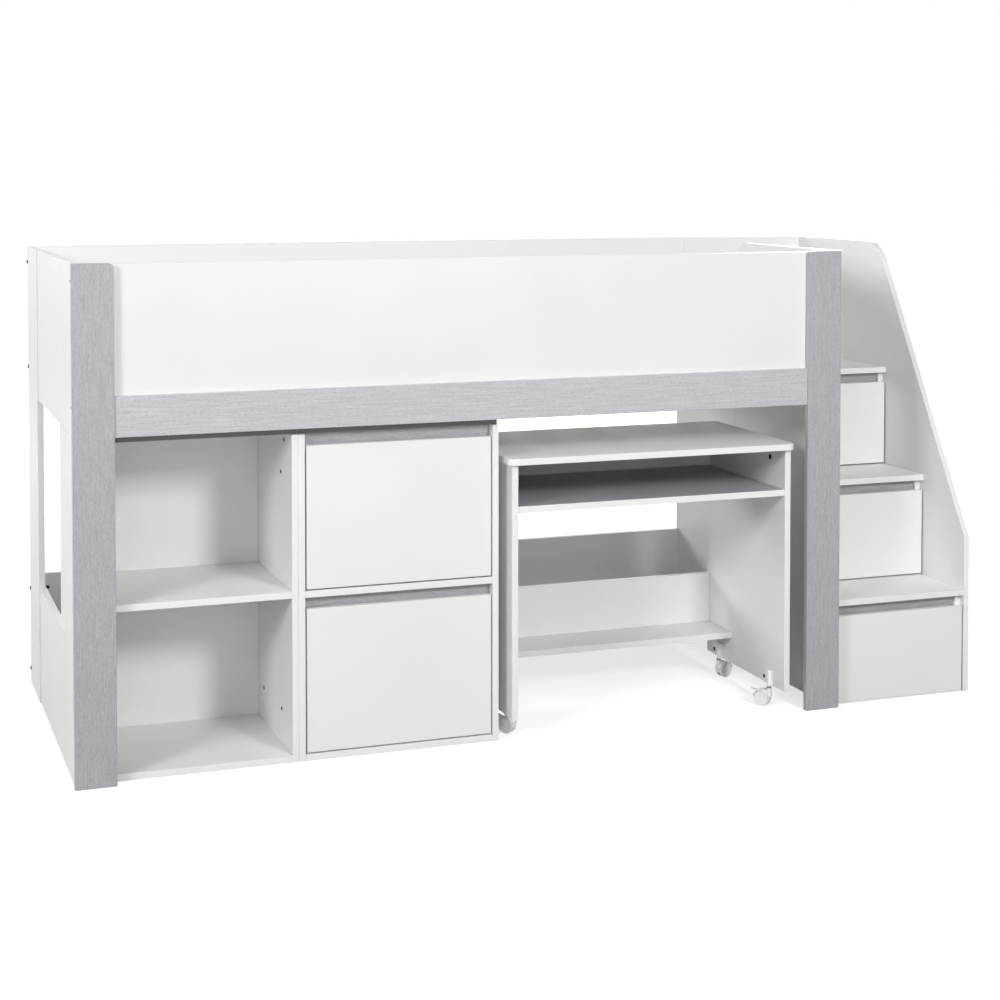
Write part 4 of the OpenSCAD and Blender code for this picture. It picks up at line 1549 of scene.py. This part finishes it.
@dataclass
class Desk:
    """Desk with its keyboard shelf, cam locks, castor brackets and screws."""

    top_corner: float = 20.0
    cam_reach: float = 7.5
    shortest_cam: float = 10.0
    hole_gap: float = 0.1
    socket_bore: float = 4.05
    boss_radius: float = 5.2
    plate_depth: float = 3.0
    plate_corner: float = 7.0

    def top(self) -> None:
        """Makes the desk top with its round front corners."""
        shape, radii = Shape(), (self.top_corner, self.top_corner, 0, 0)
        shape.board(cad_box("desk_top"), Axis.Z, radii)
        made_of(WHITE_BOARD, "desk_top", shape)

    def sides(self) -> None:
        """Makes the two sides with the holes for their cam locks."""
        shape, drills = Shape(), Shape()
        radius, past = self.cam_reach + self.hole_gap, PAST + self.hole_gap
        for box in cad_boxes("desk_sides"):
            shape.board(box, Axis.X)
        for b in cad_boxes("desk_fittings"):
            if b.size.x > self.shortest_cam:
                at, way = b.facing(Axis.X, cad_box("desk_sides").middle.x)
                drills.drill(at - way * PAST, way, radius, b.size.x + past, 48)
        shape.combine(drills)
        made_of(WHITE_BOARD, "desk_sides", shape)

    def fittings(self) -> None:
        """Makes the cam locks and the bracket screws."""
        shape = Shape()
        for b in cad_boxes("desk_fittings"):
            at, way = b.facing(Axis.X, cad_box("desk_sides").middle.x)
            deep = b.size.x
            if deep > self.shortest_cam:
                profile = rings((7.2, deep), (self.cam_reach, deep - 0.4)) + CAM_FACE
            else:
                profile = rings((2.9, deep)) + BRACKET_SCREW
            shape.turned(at, way, profile, segments=64)
        fitted("desk_fittings", shape, "dark_steel", DARK_STEEL)

    def bracket(self, box: Box, stem: Vector) -> Shape:
        """Draws a moulded castor bracket with a socket for the stem.

        Args:
            box: Box of the CAD bracket.
            stem: Place of the swivel axis.

        Returns:
            The bracket.
        """
        shape, back, bore = Shape(), Shape(), Shape()
        side = 1 if stem.x - box.lo.x > box.hi.x - stem.x else -1
        wall = box.lo.x if side > 0 else box.hi.x
        r, tip, plate = self.boss_radius, stem.x + side * self.boss_radius, side * self.plate_depth
        corners = [(wall, stem.y - r, 0), (tip, stem.y - r, r - 0.05)]
        corners += [(tip, stem.y + r, r - 0.05), (wall + plate, stem.y + r, 2.5)]
        corners += [(wall + plate, stem.y + r + 4, 0), (wall, stem.y + r + 4, 0)]
        shape.plate(filleted(corners), Axis.Z, box.span(Axis.Z), 1.0, ONE_FINISH, 3)
        flange = Box(
            Vector((min(wall, wall + plate), box.lo.y, box.lo.z)),
            Vector((max(wall, wall + plate), box.hi.y, box.hi.z)),
        )
        radii = (0, self.plate_corner, self.plate_corner, 0)
        back.board(flange, Axis.X, radii, ease=0.9, finishes=ONE_FINISH, segments=3)
        shape.combine(back, "UNION")
        low = Vector((stem.x, stem.y, box.lo.z - 1))
        bore.drill(low, UP, self.socket_bore, box.size.z + 2, 40, finish=0)
        shape.combine(bore)
        return shape

    def brackets(self) -> None:
        """Makes the four castor brackets."""
        shape = Shape()
        stems = [joint_place(f"castor_{k}_swivel") for k in (1, 2, 3, 4)]
        for box in cad_boxes("castor_brackets"):
            stem = min(stems, key=lambda p: (p.xy - box.middle.xy).length)
            shape.add(self.bracket(box, stem))
        fitted("castor_brackets", shape, "white_plastic", WHITE_PLASTIC)

    def build(self) -> None:
        """Makes every part of the desk but the castors."""
        self.top()
        self.sides()
        boards("desk_shelf", stock=DESK_SHELF_BOARD)
        boards("desk_back_boards", "desk_foot_shelf")
        self.fittings()
        self.brackets()


@dataclass
class Castor:
    """Twin-wheel castor, drawn from its swivel axis with its trail along X."""

    number: int
    braked: bool
    trail: float = 18.0
    wheel_radius: float = 20.0
    web_half: float = 3.5
    hood_inner: float = 20.8
    hood_outer: float = 22.6
    hood_half: float = 12.0
    hood_low: float = 24.0
    web_low: float = 14.0
    neck_top: float = 44.0
    collar_radius: float = 6.0
    collar_top: float = 51.7
    stem_top: float = 90.0
    axle_bore: float = 3.05
    pin_bore: float = 1.45
    hinge_reach: float = 25.4
    lever_tilt: float = math.radians(20)
    rib_starts: tuple[float, float, float] = (6.5, 9.0, 11.5)
    arc_steps: int = 48

    def place(self) -> Matrix:
        """Where the castor stands and the way that it trails."""
        stem = joint_place(f"castor_{self.number}_swivel")
        axle = joint_place(f"wheels_{self.number}_roll")
        turn = math.atan2(axle.y - stem.y, axle.x - stem.x)
        return Matrix.Translation((stem.x, stem.y, 0)) @ Matrix.Rotation(turn, 4, "Z")

    def arc(self, radius: float, low: float, back: bool = False) -> Outline:
        """Draws the part of a circle round the axle that lies above a height.

        Args:
            radius: Radius of the circle.
            low: The height.
            back: Whether to draw it from the far end.

        Returns:
            Its points.
        """
        x, z, steps = self.trail, self.wheel_radius, self.arc_steps
        start = math.asin((low - z) / radius)
        angles = [start + (math.pi - 2 * start) * k / steps for k in range(steps + 1)]
        points = [(x + radius * math.cos(a), z + radius * math.sin(a)) for a in angles]
        return points[::-1] if back else points

    def hinge(self) -> Vector:
        """Place of the brake lever's pin."""
        reach = self.hinge_reach * math.sqrt(0.5)
        return Vector((self.trail + reach, 0, self.wheel_radius + reach))

    def hood(self) -> Shape:
        """Draws the hood with its web, collar and brake lug."""
        shape, web, neck, collar, bore = (Shape() for _ in range(5))
        half, low, high = self.web_half, self.hood_low, self.neck_top
        rim = self.arc(self.hood_outer, low) + self.arc(self.hood_inner, low, back=True)
        shape.plate(rim, Axis.Y, (-self.hood_half, self.hood_half), 0.5, ONE_FINISH)
        inside = self.arc(self.hood_outer - 0.2, self.web_low)
        web.plate(inside, Axis.Y, (-half, half), 0.6, ONE_FINISH)
        corners = [(-5.8, low, 3), (6, low, 0), (6, high, 0), (-5.8, high, 0)]
        neck.plate(filleted(corners), Axis.Y, (-half + 0.1, half - 0.1), 0.5, ONE_FINISH)
        r, top = self.collar_radius, self.collar_top
        profile = rings((2.6, 31), (4.2, 34.5), (5.2, 37.2), (r - 0.2, 39), (r, 41))
        profile += rings((r, top - 4.4), (r - 0.5, top - 3.9), (4.5, top - 3.9))
        collar.turned(Vector(), UP, profile, 40)
        extras = [web, neck, collar]
        if self.braked:
            lug, link = Shape(), Shape()
            lug.turned(self.hinge(), BACK, LUG)
            link.turned(self.hinge(), Vector((-1, 0, -1)).normalized(), LINK, 24)
            extras += [lug, link]
        for extra in extras:
            shape.combine(extra, "UNION")
        axle = Vector((self.trail, -10, self.wheel_radius))
        bore.drill(axle, BACK, self.axle_bore, 20, finish=0)
        shape.combine(bore)
        return shape

    def swivel(self, shape: Shape) -> None:
        """Adds the dark ring, the washer and the steel stem over the collar.

        Args:
            shape: Shape of the hood.
        """
        foot, top, end = Vector(), self.collar_top, self.stem_top
        ring = rings((4.2, top - 3.8), (5.7, top - 3.8), (5.95, top - 3.5))
        ring += rings((5.95, top - 1.5), (5.7, top - 1.2), (4.2, top - 1.2))
        shape.turned(foot, UP, ring, 40, finish=1, closed=True)
        washer = rings((4.2, top - 1.1), (5.4, top - 1.1), (5.6, top - 0.9))
        washer += rings((5.6, top - 0.2), (5.4, top), (4.2, top))
        shape.turned(foot, UP, washer, 40, finish=2, closed=True)
        stem = rings((3.6, top - 3.7), (4, top - 3.4), (4, end - 0.8), (3.3, end), (1.0, end))
        shape.turned(foot, UP, stem, 40, finish=2)

    def wheels(self) -> Shape:
        """Draws the two wheels with their hubs, on one axle."""
        shape = Shape()
        mirrored = [Ring(r.radius, -r.height) for r in reversed(WHEEL_HALF)]
        at = Vector((self.trail, 0, self.wheel_radius))
        shape.turned(at, BACK, WHEEL_HALF + mirrored, 72)
        return shape

    def lever(self) -> Shape:
        """Draws the brake lever: a ribbed pedal between two cheeks with pin holes."""
        shape, bore = Shape(), Shape()
        tab = [(2.9, -7.3, 0.5), (15, -7.3, 4), (15, 7.3, 4), (2.9, 7.3, 0.5)]
        shape.plate(filleted(tab), Axis.Z, (-1.2, 1.2), 0.5, ONE_FINISH)
        for x in self.rib_starts:
            rib = Shape()
            line = [(x, -5, 0.4), (x + 1, -5, 0.4), (x + 1, 5, 0.4), (x, 5, 0.4)]
            rib.plate(filleted(line), Axis.Z, (1.0, 1.7), 0.25, ONE_FINISH)
            shape.combine(rib, "UNION")
        corners = [(-2.4, -2.4, 2.3), (2.4, -2.4, 1), (4.2, -1.1, 0), (4.2, 1.1, 0)]
        corners += [(2.4, 2.4, 1), (-2.4, 2.4, 2.3)]
        for span in ((-7.25, -5.3), (5.3, 7.25)):
            cheek = Shape()
            cheek.plate(filleted(corners), Axis.Y, span, 0.3, ONE_FINISH)
            shape.combine(cheek, "UNION")
        bore.drill(Vector((0, -9, 0)), BACK, self.pin_bore, 18, 24, finish=0)
        shape.combine(bore)
        return shape

    def build(self) -> None:
        """Makes the castor's pieces, each on its own body."""
        k, place, hood, wheels, lever = self.number, self.place(), Shape(), Shape(), Shape()
        body = self.hood()
        self.swivel(body)
        if self.braked:
            body.turned(self.hinge(), BACK, BRAKE_PIN, 24, finish=2)
            tilt = Matrix.Rotation(-self.lever_tilt, 4, "Y")
            lever.add(self.lever(), place @ Matrix.Translation(self.hinge()) @ tilt)
        hood.add(body, place)
        wheels.add(self.wheels(), place)
        fitted(f"castor_hood_{k}", hood, "white_plastic", WHITE_PLASTIC, DARK_RING, ZINC)
        fitted(f"castor_wheels_{k}", wheels, "white_plastic", WHITE_PLASTIC)
        if self.braked:
            fitted(f"brake_lever_{k}", lever, "white_plastic", WHITE_PLASTIC)


def main() -> None:
    """Builds the studio and every sub-assembly in order."""
    logging.basicConfig(level=logging.INFO, format="%(name)s: %(message)s")
    for part in (
        Studio(),
        BedFrame(),
        BedBase(),
        Bookcase(),
        Cabinet(),
        Staircase(),
        Drawers(),
        Desk(),
        *(Castor(k, braked=k < 3) for k in (1, 2, 3, 4)),
    ):
        part.build()


if __name__ == "__main__":
    main()
